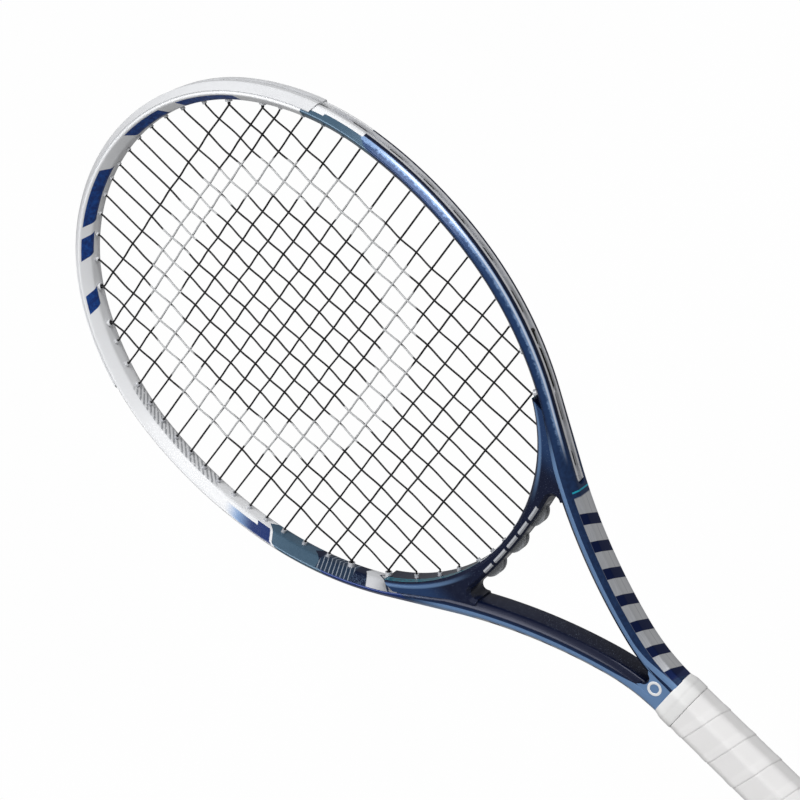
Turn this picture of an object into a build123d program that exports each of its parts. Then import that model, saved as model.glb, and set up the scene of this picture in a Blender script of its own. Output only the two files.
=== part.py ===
"""A full-size tennis racket, strung 16 by 19, lying face up with its head towards +Y.

Everything is first modelled about the centre of the string bed: X runs across the racket, Y from the
butt to the tip, and Z out of the upper face. save() then moves each piece so that the origin lies
under the middle of the racket, at the height of its lowest point.
"""
from build123d import *
import os
from math import ceil, cos, radians, sin, sqrt, tan

# Whole racket
LENGTH = 685.8                      # 27 inches, the usual adult length
BUTT_HALF_THICKNESS = 16.9          # the thickest place, which the racket lies on

# Ridge line of the frame, from the tip down the right side: radius and degrees of each tangent arc,
# turning right; a zero radius is a straight run with its length instead, a negative one turns left
RIDGE_TOP_Y = 170.2
HEAD_ARCS = [(121.5, 52.5), (169, 29), (272, 20.5), (227, 23.5)]
ARM_STRAIGHT = 41.9
ARM_ARCS = [(-355, 17.5), (-129, 18)]
RIDGE_OUT = 6.1                     # from the inner wall of the head to the ridge line

# Inner wall of the head: an egg of two half superellipses that meet at EGG_Y
EGG_POWER = 2.1
EGG_HALF_WIDTH = 126.0
EGG_Y = 8.0
EGG_TOP = 156.0
EGG_BOTTOM = 179.5

# Beam sections, measured outwards from the ridge line: inner wall, inner edge of the ridge flat,
# outer edge of the flat, outer wall, half heights of the inner and outer walls, half thickness
HEAD_BEAM = (-RIDGE_OUT, -1.2, 0, 4.3, 4.5, 5.5, 11.4)
ARM_BEAM = (-8.5, -4.6, 0, 4.3, 8.0, 6.2, 11.4)
HEAD_CAVITY = (-4.4, -1.6, -0.8, -0.2, 4.0, 5.0, 9.6)
ARM_CAVITY = (-6.8, -4.6, -0.8, -0.2, 7.0, 7.4, 9.6)
CHANNEL_FLOOR = 1.3
CHANNEL_HALF = 3.8
CHANNEL_END_Y = -182.0
CROTCH_Y = -287.0
CROTCH_RADIUS = 4.2
CROTCH_HALF_WIDTH = 6.0

# Bridge across the throat: two arcs about the middle line, and the corner that runs into each arm
BRIDGE_INNER_RADIUS = 106.0
BRIDGE_INNER_Y = EGG_Y - EGG_BOTTOM
BRIDGE_OUTER_RADIUS = 300.0
BRIDGE_OUTER_Y = -178.5
BRIDGE_HALF_SPAN = 84.0
BRIDGE_CORNER_X = 51.0
BRIDGE_CORNER_ROUND = 4.0
BRIDGE_HALF_THICKNESS = 10.4
BRIDGE_CHAMFER = 2.2
BRIDGE_SKIN = 1.3
BRIDGE_RECESS = 1.4
CORE_HALF_SPAN = 40.0
THROAT_STRIP_HALF_SPAN = 36.0

# Strings: distances between neighbours, mains from the middle out and crosses from the tip down
STRING = 1.3
MIDDLE_PITCH = 12.5
MAIN_PITCHES = [11.5, 12, 12.5, 12.5, 13.5, 15, 15]
TOP_CROSS_Y = 129.25
CROSS_PITCHES = [16.5, 14.5, 14, 13.5, 13.5, 13, 13.5, 13, 13, 12.5, 13, 13, 13, 13.5, 15, 16.5, 17.5, 20]
WEAVE_HEIGHT = 0.81                 # corners of the woven route; its arcs pass a little lower
SHARED_HEIGHT = 0.72                # two strings lie side by side in a shared hole
BEND_REACH = 2.0                    # a string's arc starts this far before its corner
EXIT_REACH = 1.6
THROAT_MAINS = 3                    # mains each side that pass through the bridge
CORNER_EXIT_Y = [-176, -165, -153, -136]
TAIL = 8.0
KNOT_RADIUS = 1.4

# Bumper and grommet strips
STRIP_FLOOR = 1.0
GROOVE_HALF = 1.9
FIT = 0.05                          # play between pieces that only touch
STRING_SEAT = CHANNEL_FLOOR + FIT + STRIP_FLOOR + STRING / 2 + 3 * FIT
LOOP_STOP = 7.0
LOOP_SEAT = STRING_SEAT + 0.05
KNOT_SEAT = STRING_SEAT + KNOT_RADIUS - STRING / 2
BUMPER_OUT = 5.6
BUMPER_END_Y = 80.0
BARREL_RADIUS = 1.45
BORE_RADIUS = 0.85
RELIEF_RADIUS = 2.0                 # dimple at each outer mouth, where the string turns
RELIEF_WIDTH = 2.4
SHARED_EXTRA = 0.8                  # a shared hole is this much larger in radius
BARREL_PROUD = 1.7
MOUTH_GAP = 1.6                     # a string bends this far inside a barrel's mouth
BUMP_RADIUS = 10.0
BUMP_HEIGHT = 3.8
BUMP_HALF_THICKNESS = 3.2
BUMP_SLOT_HALF = 0.9

# Handle: half width, half thickness, half front flat, half side flat
SHAFT = (14.35, 11.4, 10.05, 6.2)
GRIP = (16.3, 14.2, 9.2, 5.6)
CAVITY_INNER_X = 3.2
CAVITY_OUTER_X = 9.8
# Distances inwards from the outside of the grip
PALLET_IN = 1.8
HAIRPIN_IN = 4.3
HAIRPIN_WALL = 1.6
SKIRT_THICKNESS = 1.0
KNOB_OUT = BUTT_HALF_THICKNESS - GRIP[1]
# Heights of the handle's steps
SHAFT_TOP_Y = -308.0
SHAFT_END_Y = -310.0
COLLAR_TOP_Y = -305.6
COLLAR_STEP_Y = -311.3
COLLAR_END_Y = -318.6
WRAP_TOP_Y = -311.5
TAPE_TOP_Y = -311.6
TAPE_END_Y = -317.6
WRAP_FULL_Y = -318.8
PALLET_TOP_Y = -311.5
SKIRT_TOP_Y = -478.0
PALLET_END_Y = -503.0
KNOB_TOP_Y = -500.0
HAIRPIN_END_Y = -500.0
PLUG_LENGTH = 12.0
DOOR_SIZE = (20.0, 16.0)
DOOR_ROUND = 3.0
CAP_WALL = 2.0
STAPLE_Y = -489.0
STAPLE_CROWN = (7.0, 1.0, 0.5)
STAPLE_X = 4.2
STAPLE_LEG = 2.2
DOOR_PLAY = 0.15
WRAP_THIN_IN = 0.9                  # the grip is thinner where the collar covers it
TAPE_THICKNESS = 0.15

TIP_Y = RIDGE_TOP_Y + BUMPER_OUT
BUTT_Y = TIP_Y - LENGTH
BED_Y = LENGTH / 2 - TIP_Y


# ---------------------------------------------------------------- shared geometry

def egg_y(x, top, inset=0.0):
    """Height of the inner wall at x, on the tip side or the throat side."""
    reach = (EGG_TOP if top else EGG_BOTTOM) - inset
    height = reach * (1 - abs(x / (EGG_HALF_WIDTH - inset)) ** EGG_POWER) ** (1 / EGG_POWER)
    return EGG_Y + (height if top else -height)


def egg_x(y, inset=0.0):
    """Half width of the inner wall at height y."""
    reach = (EGG_TOP if y >= EGG_Y else EGG_BOTTOM) - inset
    return (EGG_HALF_WIDTH - inset) * (1 - abs((y - EGG_Y) / reach) ** EGG_POWER) ** (1 / EGG_POWER)


def egg_normal(point):
    """Outward direction of the inner wall at a point on or near it."""
    reach = EGG_TOP if point.Y >= EGG_Y else EGG_BOTTOM
    slope_x = abs(point.X) ** (EGG_POWER - 1) / EGG_HALF_WIDTH ** EGG_POWER
    slope_y = abs(point.Y - EGG_Y) ** (EGG_POWER - 1) / reach ** EGG_POWER
    return Vector(slope_x if point.X >= 0 else -slope_x,
                  slope_y if point.Y >= EGG_Y else -slope_y).normalized()


def ridge_runs():
    """Runs of the right half: start, heading in degrees clockwise from +X, radius, turn or length."""
    runs = []
    point = Vector(0, RIDGE_TOP_Y)
    heading = 0.0
    for radius, turn in HEAD_ARCS + [(0, ARM_STRAIGHT)] + ARM_ARCS:
        runs.append((point, heading, radius, turn))
        forward = Vector(cos(radians(heading)), -sin(radians(heading)))
        if radius:
            to_centre = Vector(-sin(radians(heading)), -cos(radians(heading))) * radius
            centre = point + to_centre
            signed_turn = turn if radius > 0 else -turn
            point = centre - to_centre.rotate(Axis.Z, -signed_turn)
            heading += signed_turn
        else:
            point = point + forward * turn
    runs.append((point, heading, 0, point.Y - SHAFT_TOP_Y))
    return runs


RIDGE_RUNS = ridge_runs()
STRAIGHT_RUN = len(HEAD_ARCS)


def run_plane(run):
    """Plane square to the start of a run, with local X pointing away from the string bed."""
    point, heading = run[:2]
    along = Vector(cos(radians(heading)), -sin(radians(heading)))
    return Plane(origin=point, x_dir=Vector(0, 0, 1).cross(along), z_dir=along)


def run_solid(profile, run):
    """Solid that a profile sweeps along one arc or straight run of the ridge line."""
    point, heading, radius, size = run
    plane = run_plane(run)
    section = plane * profile
    if not radius:
        return extrude(section, size, dir=plane.z_dir)
    centre = point + Vector(-sin(radians(heading)), -cos(radians(heading))) * radius
    return revolve(section, Axis(centre, (0, 0, -1 if radius > 0 else 1)), size)


def both_sides(shape):
    return shape + mirror(shape, about=Plane.YZ)


def along_head(profile):
    """Solid that one profile sweeps along the whole ridge line, both sides."""
    return both_sides(sum((run_solid(profile, run) for run in RIDGE_RUNS[1:]),
                          run_solid(profile, RIDGE_RUNS[0])))


def diamond(inner, flat_in, flat_out, outer, side_in, side_out, half):
    """Beam section: two side walls and two ridges."""
    return Polygon((inner, side_in), (inner, -side_in), (flat_in, -half), (flat_out, -half),
                   (outer, -side_out), (outer, side_out), (flat_out, half), (flat_in, half), align=None)


def beam_along(head_section, arm_section):
    """Hairpin with one section round the head and another down the arms, blended between them."""
    head = diamond(*head_section)
    arm = diamond(*arm_section)
    pieces = [run_solid(head, run) for run in RIDGE_RUNS[:STRAIGHT_RUN]]
    blend_start = run_plane(RIDGE_RUNS[STRAIGHT_RUN])
    blend_end = run_plane(RIDGE_RUNS[STRAIGHT_RUN + 1])
    pieces.append(loft([blend_start * head, blend_end * arm], ruled=True))
    pieces += [run_solid(arm, run) for run in RIDGE_RUNS[STRAIGHT_RUN + 1:]]
    return both_sides(sum(pieces[1:], pieces[0]))


def above(y):
    """Everything on the tip side of a height."""
    return Pos(0, y + 500, 0) * Box(600, 1000, 100)


def ridge_wire():
    """The right half of the ridge line, for measuring."""
    edges = []
    for start, end in zip(RIDGE_RUNS, RIDGE_RUNS[1:]):
        if start[2]:
            forward = Vector(cos(radians(start[1])), -sin(radians(start[1])))
            edges.append(TangentArc(start[0], end[0], tangent=forward))
        else:
            edges.append(Line(start[0], end[0]))
    return Wire(edges)


RIDGE = ridge_wire()


def seat_near(point, height=STRING_SEAT):
    """Place on the string channel's middle line nearest a point: height out from the ridge line."""
    side = 1 if point.X >= 0 else -1
    flat = Vector(abs(point.X), point.Y)
    foot = RIDGE.distance_to_with_closest_points(flat)[1]
    seat = foot + (flat - foot).normalized() * height
    return Vector(side * seat.X, seat.Y, point.Z)


def seat_at_height(y, side):
    """Place on the channel's middle line, on the outside of an arm, at a height along the racket."""
    seat = seat_near(Vector(140, y - 40))
    for _ in range(20):
        seat = seat_near(Vector(seat.X, y) + (seat - RIDGE.distance_to_with_closest_points(seat)[1]))
    return Vector(side * seat.X, seat.Y)


# ---------------------------------------------------------------- string pattern and holes

def main_positions():
    """X of every main string, from the right side to the left."""
    right = [MIDDLE_PITCH / 2]
    for pitch in MAIN_PITCHES:
        right.append(right[-1] + pitch)
    return right[::-1] + [-x for x in right]


def cross_positions():
    """Y of every cross string, from the tip down."""
    heights = [TOP_CROSS_Y]
    for pitch in CROSS_PITCHES:
        heights.append(heights[-1] - pitch)
    return heights


MAINS = main_positions()
CROSSES = cross_positions()
# a main and a cross share a hole: how many strings in from the side, how many in from tip or throat
SHARED = {(0, 1), (1, 0)}


class Hole:
    """One string hole: where strings bend at its mouth, and where they leave it in the channel."""

    def __init__(self, mouth, leave, shared=False, on_bridge=False):
        self.mouth = mouth
        self.leave = leave
        self.shared = shared
        self.on_bridge = on_bridge
        self.direction = (leave - mouth).normalized()

    def rod(self, radius, start=0.0, extra=0.0):
        """Round bar along the hole, from start past its mouth to extra past its outer end."""
        base = Plane(origin=self.mouth + self.direction * start, z_dir=self.direction)
        return extrude(base * Circle(radius), (self.leave - self.mouth).length - start + extra)


def bridge_outer_y(x):
    """Height of the bridge's throat side at x."""
    return BRIDGE_OUTER_Y + BRIDGE_OUTER_RADIUS - sqrt(BRIDGE_OUTER_RADIUS ** 2 - x ** 2)


def make_holes():
    """Every hole, by the string ends that use it: ('main', index, top) or ('cross', index, right)."""
    inset = BARREL_PROUD + MOUTH_GAP
    holes = {}
    last = len(MAINS) - 1
    for index, x in enumerate(MAINS):
        side = 1 if x > 0 else -1
        from_side = min(index, last - index)
        from_middle = len(MAINS) // 2 - 1 - from_side
        for top in (True, False):
            mouth = Vector(x, egg_y(x, top, inset))
            shares = None
            for mains_in, crosses_in in SHARED:
                if from_side == mains_in:
                    shares = crosses_in if top else len(CROSSES) - 1 - crosses_in
            if shares is not None:
                cross_y = CROSSES[shares]
                mouth = (mouth + Vector(side * egg_x(cross_y, inset), cross_y)) / 2
            outward = egg_normal(mouth)
            aim = outward if shares is not None else (outward + Vector(0, 1 if top else -1)).normalized()
            corner = from_middle - THROAT_MAINS
            if not top and corner < 0:
                leave = Vector(x, bridge_outer_y(x) - STRING / 2 - 3 * FIT)
            elif not top and corner < len(CORNER_EXIT_Y):
                leave = seat_at_height(CORNER_EXIT_Y[corner], side)
            else:
                leave = seat_near(mouth + aim * (inset + RIDGE_OUT + STRING_SEAT) / aim.dot(outward))
            hole = Hole(mouth, leave, shares is not None, not top and corner < 0)
            holes["main", index, top] = hole
            if shares is not None:
                holes["cross", shares, side > 0] = hole
    for index, y in enumerate(CROSSES):
        for right in (True, False):
            if ("cross", index, right) in holes:
                continue
            side = 1 if right else -1
            mouth = Vector(side * egg_x(y, inset), y)
            outward = egg_normal(mouth)
            aim = (outward + Vector(side, 0)).normalized()
            leave = seat_near(mouth + aim * (inset + RIDGE_OUT + STRING_SEAT) / aim.dot(outward))
            holes["cross", index, right] = Hole(mouth, leave)
    return holes


HOLES = make_holes()
ALL_HOLES = list({id(hole): hole for hole in HOLES.values()}.values())


def hole_cutters(holes):
    """Clearance holes for the barrels."""
    return [hole.rod(BARREL_RADIUS + FIT + SHARED_EXTRA * hole.shared, extra=2) for hole in holes]


# ---------------------------------------------------------------- frame

def octagon(size, inset=0.0):
    """Handle section with its long flats to the front and the back."""
    half_width, half_thickness, flat_width, flat_side = size
    corners = [(flat_width, half_thickness), (half_width, flat_side),
               (half_width, -flat_side), (flat_width, -half_thickness),
               (-flat_width, -half_thickness), (-half_width, -flat_side),
               (-half_width, flat_side), (-flat_width, half_thickness)]
    outline = Polygon(*corners, align=None)
    if inset:
        outline = offset(outline, -inset, kind=Kind.INTERSECTION)
    return outline


def across(y):
    """Plane across the handle at a height, facing the butt, with local Y towards the back."""
    return Plane(origin=(0, y, 0), x_dir=(1, 0, 0), z_dir=(0, -1, 0))


def handle_block(size, top, bottom, inset=0.0, bottom_inset=None):
    """Solid stretch of the handle between two heights, straight or tapered."""
    if bottom_inset is None:
        return extrude(across(top) * octagon(size, inset), top - bottom, dir=(0, -1, 0))
    ends = [across(top) * octagon(size, inset), across(bottom) * octagon(size, bottom_inset)]
    return loft(ends, ruled=True)


def outer_tube():
    """Outside of the whole hairpin moulding, before it is hollowed."""
    arms = beam_along(HEAD_BEAM, ARM_BEAM)
    web_top = CROTCH_Y
    web = Pos(0, (web_top + SHAFT_TOP_Y) / 2, 0) * Box(2 * CROTCH_HALF_WIDTH, web_top - SHAFT_TOP_Y,
                                                      2 * ARM_BEAM[-1])
    web -= Pos(0, CROTCH_Y, 0) * Cylinder(CROTCH_RADIUS, 40)
    shaft = handle_block(SHAFT, SHAFT_TOP_Y, SHAFT_END_Y)
    step = loft([across(SHAFT_END_Y) * octagon(SHAFT), across(PALLET_TOP_Y) * octagon(GRIP, HAIRPIN_IN)],
                ruled=True)
    hairpin = handle_block(GRIP, PALLET_TOP_Y, HAIRPIN_END_Y, HAIRPIN_IN)
    return arms + web + shaft + step + hairpin


def handle_cavities(top, play):
    """The two open ends of the hairpin, from a height down to its end, less some play all round."""
    inside = handle_block(GRIP, top, HAIRPIN_END_Y, HAIRPIN_IN + HAIRPIN_WALL + play)
    low = CAVITY_INNER_X + play
    high = CAVITY_OUTER_X - play
    return inside & both_sides(Pos((low + high) / 2, -400, 0) * Box(high - low, 400, 40))


def tube_cavity():
    """Hollow inside of the moulding: one channel round the head and down each arm."""
    arms = beam_along(HEAD_CAVITY, ARM_CAVITY)
    return arms + handle_cavities(SHAFT_TOP_Y, 0)


def strip_profile(low, high, half):
    """Rectangle in a beam section, from one height out from the ridge line to another."""
    return Pos((low + high) / 2, 0) * Rectangle(high - low, 2 * half)


def channel():
    return along_head(strip_profile(CHANNEL_FLOOR, 8, CHANNEL_HALF)) & above(CHANNEL_END_Y)


def make_frame(outer):
    tube = outer - tube_cavity() - channel()
    tube -= hole_cutters([hole for hole in ALL_HOLES if not hole.on_bridge])
    return tube


def bridge_arc(radius, lowest_y, half_span):
    """Arc across the throat from left to right, lowest in the middle."""
    end_y = lowest_y + radius - sqrt(radius ** 2 - half_span ** 2)
    return ThreePointArc((-half_span, end_y), (0, lowest_y), (half_span, end_y))


def throat_arc(lift, half_span):
    """Arc beside the bridge's throat side, lifted towards the strings."""
    return bridge_arc(BRIDGE_OUTER_RADIUS - lift, BRIDGE_OUTER_Y + lift, half_span)


def arc_band(upper, lower, half_thickness):
    """Flat band between two arcs."""
    outline = make_face([upper, lower, Line(upper @ 0, lower @ 0), Line(upper @ 1, lower @ 1)])
    return extrude(Pos(0, 0, -half_thickness) * outline, 2 * half_thickness)


def make_bridge(outer):
    """Bridge skin and its foam core: a block between two arcs whose ends run into the arms."""
    string_side = bridge_arc(BRIDGE_INNER_RADIUS, BRIDGE_INNER_Y, BRIDGE_HALF_SPAN)
    throat_side = throat_arc(0, BRIDGE_CORNER_X)
    corner = throat_side @ 1
    side = [corner, corner + Vector(-5.5, -8.5), corner + Vector(2, -12), Vector(84, -141), string_side @ 1]
    right = Polyline(*side)
    left = Polyline(*[Vector(-point.X, point.Y) for point in side])
    outline = make_face([throat_side, string_side, *right.edges(), *left.edges()])
    corners = [vertex for vertex in outline.vertices()
               if abs(abs(vertex.X) - corner.X) < 0.01 and abs(vertex.Y - corner.Y) < 0.01]
    outline = fillet(corners, BRIDGE_CORNER_ROUND)
    block = extrude(Pos(0, 0, -BRIDGE_HALF_THICKNESS) * outline, 2 * BRIDGE_HALF_THICKNESS)
    rims = [edge for edge in block.edges()
            if edge.geom_type == GeomType.CIRCLE and edge.radius > BRIDGE_INNER_RADIUS - 1]
    block = chamfer(rims, BRIDGE_CHAMFER)
    recess = arc_band(throat_arc(BRIDGE_RECESS, THROAT_STRIP_HALF_SPAN),
                      throat_arc(-9, THROAT_STRIP_HALF_SPAN), CHANNEL_HALF)
    core_top = bridge_arc(BRIDGE_INNER_RADIUS + BRIDGE_SKIN, BRIDGE_INNER_Y - BRIDGE_SKIN, CORE_HALF_SPAN)
    core = arc_band(core_top, throat_arc(BRIDGE_RECESS + BRIDGE_SKIN, CORE_HALF_SPAN),
                    BRIDGE_HALF_THICKNESS - BRIDGE_SKIN - BRIDGE_CHAMFER / 2)
    cutters = hole_cutters([hole for hole in ALL_HOLES if hole.mouth.Y < -100])
    skin = block - outer - recess - core - cutters
    return skin, core - cutters


# ---------------------------------------------------------------- bumper and grommet strips

def bored(strip, holes):
    """A strip with its barrels: tubes that line the string holes and open out at the channel."""
    for hole in holes:
        strip += hole.rod(BARREL_RADIUS + SHARED_EXTRA * hole.shared, MOUTH_GAP, -STRING / 2 - 2 * FIT)
    for hole in holes:
        radius = BORE_RADIUS + SHARED_EXTRA * hole.shared
        flare = Plane(origin=hole.leave, z_dir=-hole.direction)
        strip -= hole.rod(radius, MOUTH_GAP - 1, 1.2)
        strip -= flare * Cone(radius + 1.05, radius, 1.6, align=(Align.CENTER, Align.CENTER, Align.MIN))
        strip -= Pos(hole.leave) * Cylinder(RELIEF_RADIUS, RELIEF_WIDTH)
    return strip


def make_bumper():
    """Guard round the head: a grooved strip in the channel with a lip over each outer facet."""
    floor = CHANNEL_FLOOR + FIT
    side = CHANNEL_HALF - FIT
    wall = HEAD_BEAM[3] + FIT
    half = [(floor, side), (wall, side), (wall, 5.55), (0.5, 10.8), (1.25, 11.3), (5.1, 6.1),
            (BUMPER_OUT, 5.2), (BUMPER_OUT, GROOVE_HALF), (floor + STRIP_FLOOR, GROOVE_HALF)]
    profile = Polygon(*half, *[(out, -z) for out, z in reversed(half)], align=None)
    strip = along_head(profile) & above(BUMPER_END_Y)
    return bored(strip, [hole for hole in ALL_HOLES if hole.leave.Y > BUMPER_END_Y])


def make_side_strips():
    """Left and right grommet strips, from the bumper down to the throat."""
    floor = CHANNEL_FLOOR + FIT
    side = CHANNEL_HALF - FIT
    top = HEAD_BEAM[3] - FIT
    half = [(floor, side), (top, side), (top, GROOVE_HALF), (floor + STRIP_FLOOR, GROOVE_HALF)]
    profile = Polygon(*half, *[(out, -z) for out, z in reversed(half)], align=None)
    strips = (along_head(profile) & above(CHANNEL_END_Y + FIT)) - above(BUMPER_END_Y - FIT)
    left, right = strips.solids().sort_by(Axis.X)
    lower = [hole for hole in ALL_HOLES if hole.leave.Y < BUMPER_END_Y and not hole.on_bridge]
    return (bored(left, [hole for hole in lower if hole.leave.X < 0]),
            bored(right, [hole for hole in lower if hole.leave.X > 0]))


def make_throat_strip():
    """Strip under the bridge, with a slotted half-round bump over each string loop."""
    span = THROAT_STRIP_HALF_SPAN - FIT
    strip = arc_band(throat_arc(BRIDGE_RECESS - FIT, span), throat_arc(0, span), CHANNEL_HALF - FIT)
    below = arc_band(throat_arc(0.2, span), throat_arc(-9, span), BUMP_HALF_THICKNESS)
    on_bridge = sorted(hole.leave.X for hole in ALL_HOLES if hole.on_bridge)
    middles = [0.0, (on_bridge[0] + on_bridge[1]) / 2, (on_bridge[-1] + on_bridge[-2]) / 2]
    for middle in middles:
        centre_y = bridge_outer_y(middle) - BUMP_HEIGHT + BUMP_RADIUS
        strip += Pos(middle, centre_y, 0) * Cylinder(BUMP_RADIUS, 2 * BUMP_HALF_THICKNESS) & below
    strip -= arc_band(throat_arc(0, span), throat_arc(-9, span), BUMP_SLOT_HALF)
    return bored(strip, [hole for hole in ALL_HOLES if hole.on_bridge])


# ---------------------------------------------------------------- strings

def rounded_route(points, reaches):
    """Straight runs joined by tangent arcs; each arc starts a reach before its corner."""
    edges = []
    cursor = points[0]
    for before, corner, after, wanted in zip(points, points[1:], points[2:], reaches[1:]):
        reach = min(wanted, 0.45 * (corner - before).length, 0.45 * (after - corner).length)
        into = (corner - before).normalized()
        away = (after - corner).normalized()
        half_turn = radians(into.get_angle(away)) / 2
        if half_turn < 1e-4:
            continue
        sag = reach / tan(half_turn) * (1 / cos(half_turn) - 1)
        start = corner - into * reach
        end = corner + away * reach
        edges.append(Line(cursor, start))
        edges.append(ThreePointArc(start, corner + (away - into).normalized() * sag, end))
        cursor = end
    edges.append(Line(cursor, points[-1]))
    return Wire(edges)


def weave_side(main, cross):
    """A main passes over every other cross."""
    return 1 if (main + cross) % 2 == 0 else -1


def string_route(lines, tails):
    """Corners of one string: lines are (first hole, bed points, last hole), tails lead to its knots."""
    points = [tails[0]]
    reaches = [EXIT_REACH]
    previous = None
    for first, bed, last, side in lines:
        height = Vector(0, 0, side * SHARED_HEIGHT)
        enter = first.leave + height * first.shared
        if previous is not None and not first.on_bridge:
            stops = ceil((enter - previous).length / LOOP_STOP)
            for stop in range(1, stops):
                points.append(seat_near(previous + (enter - previous) * (stop / stops), LOOP_SEAT))
                reaches.append(BEND_REACH / 2)
        previous = last.leave + height * last.shared
        mouths = [end.mouth + height * end.shared for end in (first, last)]
        points += [enter, mouths[0], *bed, mouths[1], previous]
        reaches += [EXIT_REACH, BEND_REACH] + [BEND_REACH] * len(bed) + [BEND_REACH, EXIT_REACH]
    points.append(tails[1])
    reaches.append(EXIT_REACH)
    return points, reaches


def make_string(lines, tails):
    """One string in one piece, with a stopper knot at each end."""
    points, reaches = string_route(lines, tails)
    route = rounded_route(points, reaches)
    start = Plane(origin=route @ 0, z_dir=route % 0)
    string = sweep(start * Circle(STRING / 2), path=route)
    for tail in tails:
        string += Pos(tail) * Sphere(KNOT_RADIUS)
    return string


def inside(x, y):
    """Whether a main at x and a cross at y meet inside the head."""
    return abs(x) < egg_x(y, BARREL_PROUD + MOUTH_GAP) - 1.5


def make_main_string():
    lines = []
    for main, x in enumerate(MAINS):
        bed = [Vector(x, y, WEAVE_HEIGHT * weave_side(main, cross))
               for cross, y in enumerate(CROSSES) if inside(x, y)]
        ends = [HOLES["main", main, True], HOLES["main", main, False]]
        if main % 2 == 0:
            bed.reverse()
            ends.reverse()
        lines.append((ends[0], bed, ends[1], 1))
    first = lines[0][0].leave
    last = lines[-1][2].leave
    tail_ends = (first + Vector(TAIL, TAIL), last + Vector(-TAIL, -TAIL))
    tails = [seat_near(end, KNOT_SEAT) for end in tail_ends]
    return make_string(lines, tails)


def make_cross_string():
    lines = []
    for cross, y in enumerate(CROSSES):
        bed = [Vector(x, y, -WEAVE_HEIGHT * weave_side(main, cross))
               for main, x in enumerate(MAINS) if inside(x, y)]
        ends = [HOLES["cross", cross, True], HOLES["cross", cross, False]]
        if cross % 2 == 1:
            bed.reverse()
            ends.reverse()
        lines.append((ends[0], bed, ends[1], -1))
    first = lines[0][0].leave
    last = lines[-1][2].leave
    tail_ends = (first + Vector(-TAIL / 2, TAIL), last + Vector(-TAIL, TAIL))
    tails = [seat_near(end, KNOT_SEAT) for end in tail_ends]
    return make_string(lines, tails)


# ---------------------------------------------------------------- handle

def make_pallets():
    """Front and back half shells that give the handle its eight flats."""
    shell = handle_block(GRIP, PALLET_TOP_Y, PALLET_END_Y, PALLET_IN)
    shell -= handle_block(GRIP, PALLET_TOP_Y + 1, PALLET_END_Y - 1, HAIRPIN_IN - FIT)
    shell -= staple_blocks()
    half = Pos(0, -400, 50 + FIT / 2) * Box(100, 400, 100)
    return shell & half, shell & mirror(half, about=Plane.XY)


def make_plugs():
    """Foam plugs that close the two open ends of the hairpin."""
    return handle_cavities(HAIRPIN_END_Y + PLUG_LENGTH, FIT)


def staple_blocks():
    """Two U staples in the front flat of the butt cap's skirt and two in the back flat."""
    crown_width, thickness, depth = STAPLE_CROWN
    skirt_z = GRIP[1] - PALLET_IN + FIT + SKIRT_THICKNESS
    crown = Pos(0, 0, skirt_z - depth / 2) * Box(crown_width, thickness, depth)
    leg = Box(thickness, thickness, STAPLE_LEG)
    leg = Pos((crown_width - thickness) / 2, 0, skirt_z - STAPLE_LEG / 2) * leg
    staple = crown + leg + mirror(leg, about=Plane.YZ)
    front = Pos(-STAPLE_X, STAPLE_Y, 0) * staple + Pos(STAPLE_X, STAPLE_Y, 0) * staple
    return front + mirror(front, about=Plane.XY)


def knob():
    """Flared end of the butt cap, rounded at its rim."""
    flare = handle_block(GRIP, KNOB_TOP_Y, KNOB_TOP_Y - 5, SKIRT_THICKNESS - 0.2, -KNOB_OUT)
    rim = handle_block(GRIP, KNOB_TOP_Y - 5, BUTT_Y, -KNOB_OUT)
    end = rim.faces().sort_by(Axis.Y)[0]
    return flare + fillet(end.edges(), 2)


def door_pocket(play):
    """Room for the butt cap's door: its plate and the two snap legs behind it."""
    plate = Pos(0, BUTT_Y + CAP_WALL / 2, 0) * Box(DOOR_SIZE[0] + 2 * play, CAP_WALL, DOOR_SIZE[1] + 2 * play)
    return fillet(plate.edges().filter_by(Axis.Y), DOOR_ROUND + play)


def make_butt_cap():
    """Cup over the end of the handle: a thin skirt under the grip and a flared knob."""
    skirt = handle_block(GRIP, SKIRT_TOP_Y, KNOB_TOP_Y, PALLET_IN - FIT - SKIRT_THICKNESS)
    cap = skirt + knob()
    cap -= handle_block(GRIP, SKIRT_TOP_Y + 1, PALLET_END_Y - FIT, PALLET_IN - FIT)
    cap -= handle_block(GRIP, PALLET_END_Y, BUTT_Y + CAP_WALL, PALLET_IN + 2)
    cap -= door_pocket(DOOR_PLAY)
    return cap - staple_blocks()


def make_door():
    """Snap-in lid of the butt cap with two springy legs and a shallow ring on its face."""
    plate = door_pocket(0)
    leg_height = 4.0
    leg = Pos(DOOR_SIZE[0] / 2 - 2.2, BUTT_Y + CAP_WALL + leg_height / 2, 0) * Box(1.2, leg_height, 6)
    ring = Plane(origin=(0, BUTT_Y, 0), x_dir=(1, 0, 0), z_dir=(0, 1, 0)) * (Circle(5.6) - Circle(4.8))
    return plate + both_sides(leg) - extrude(ring, 0.4)


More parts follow.
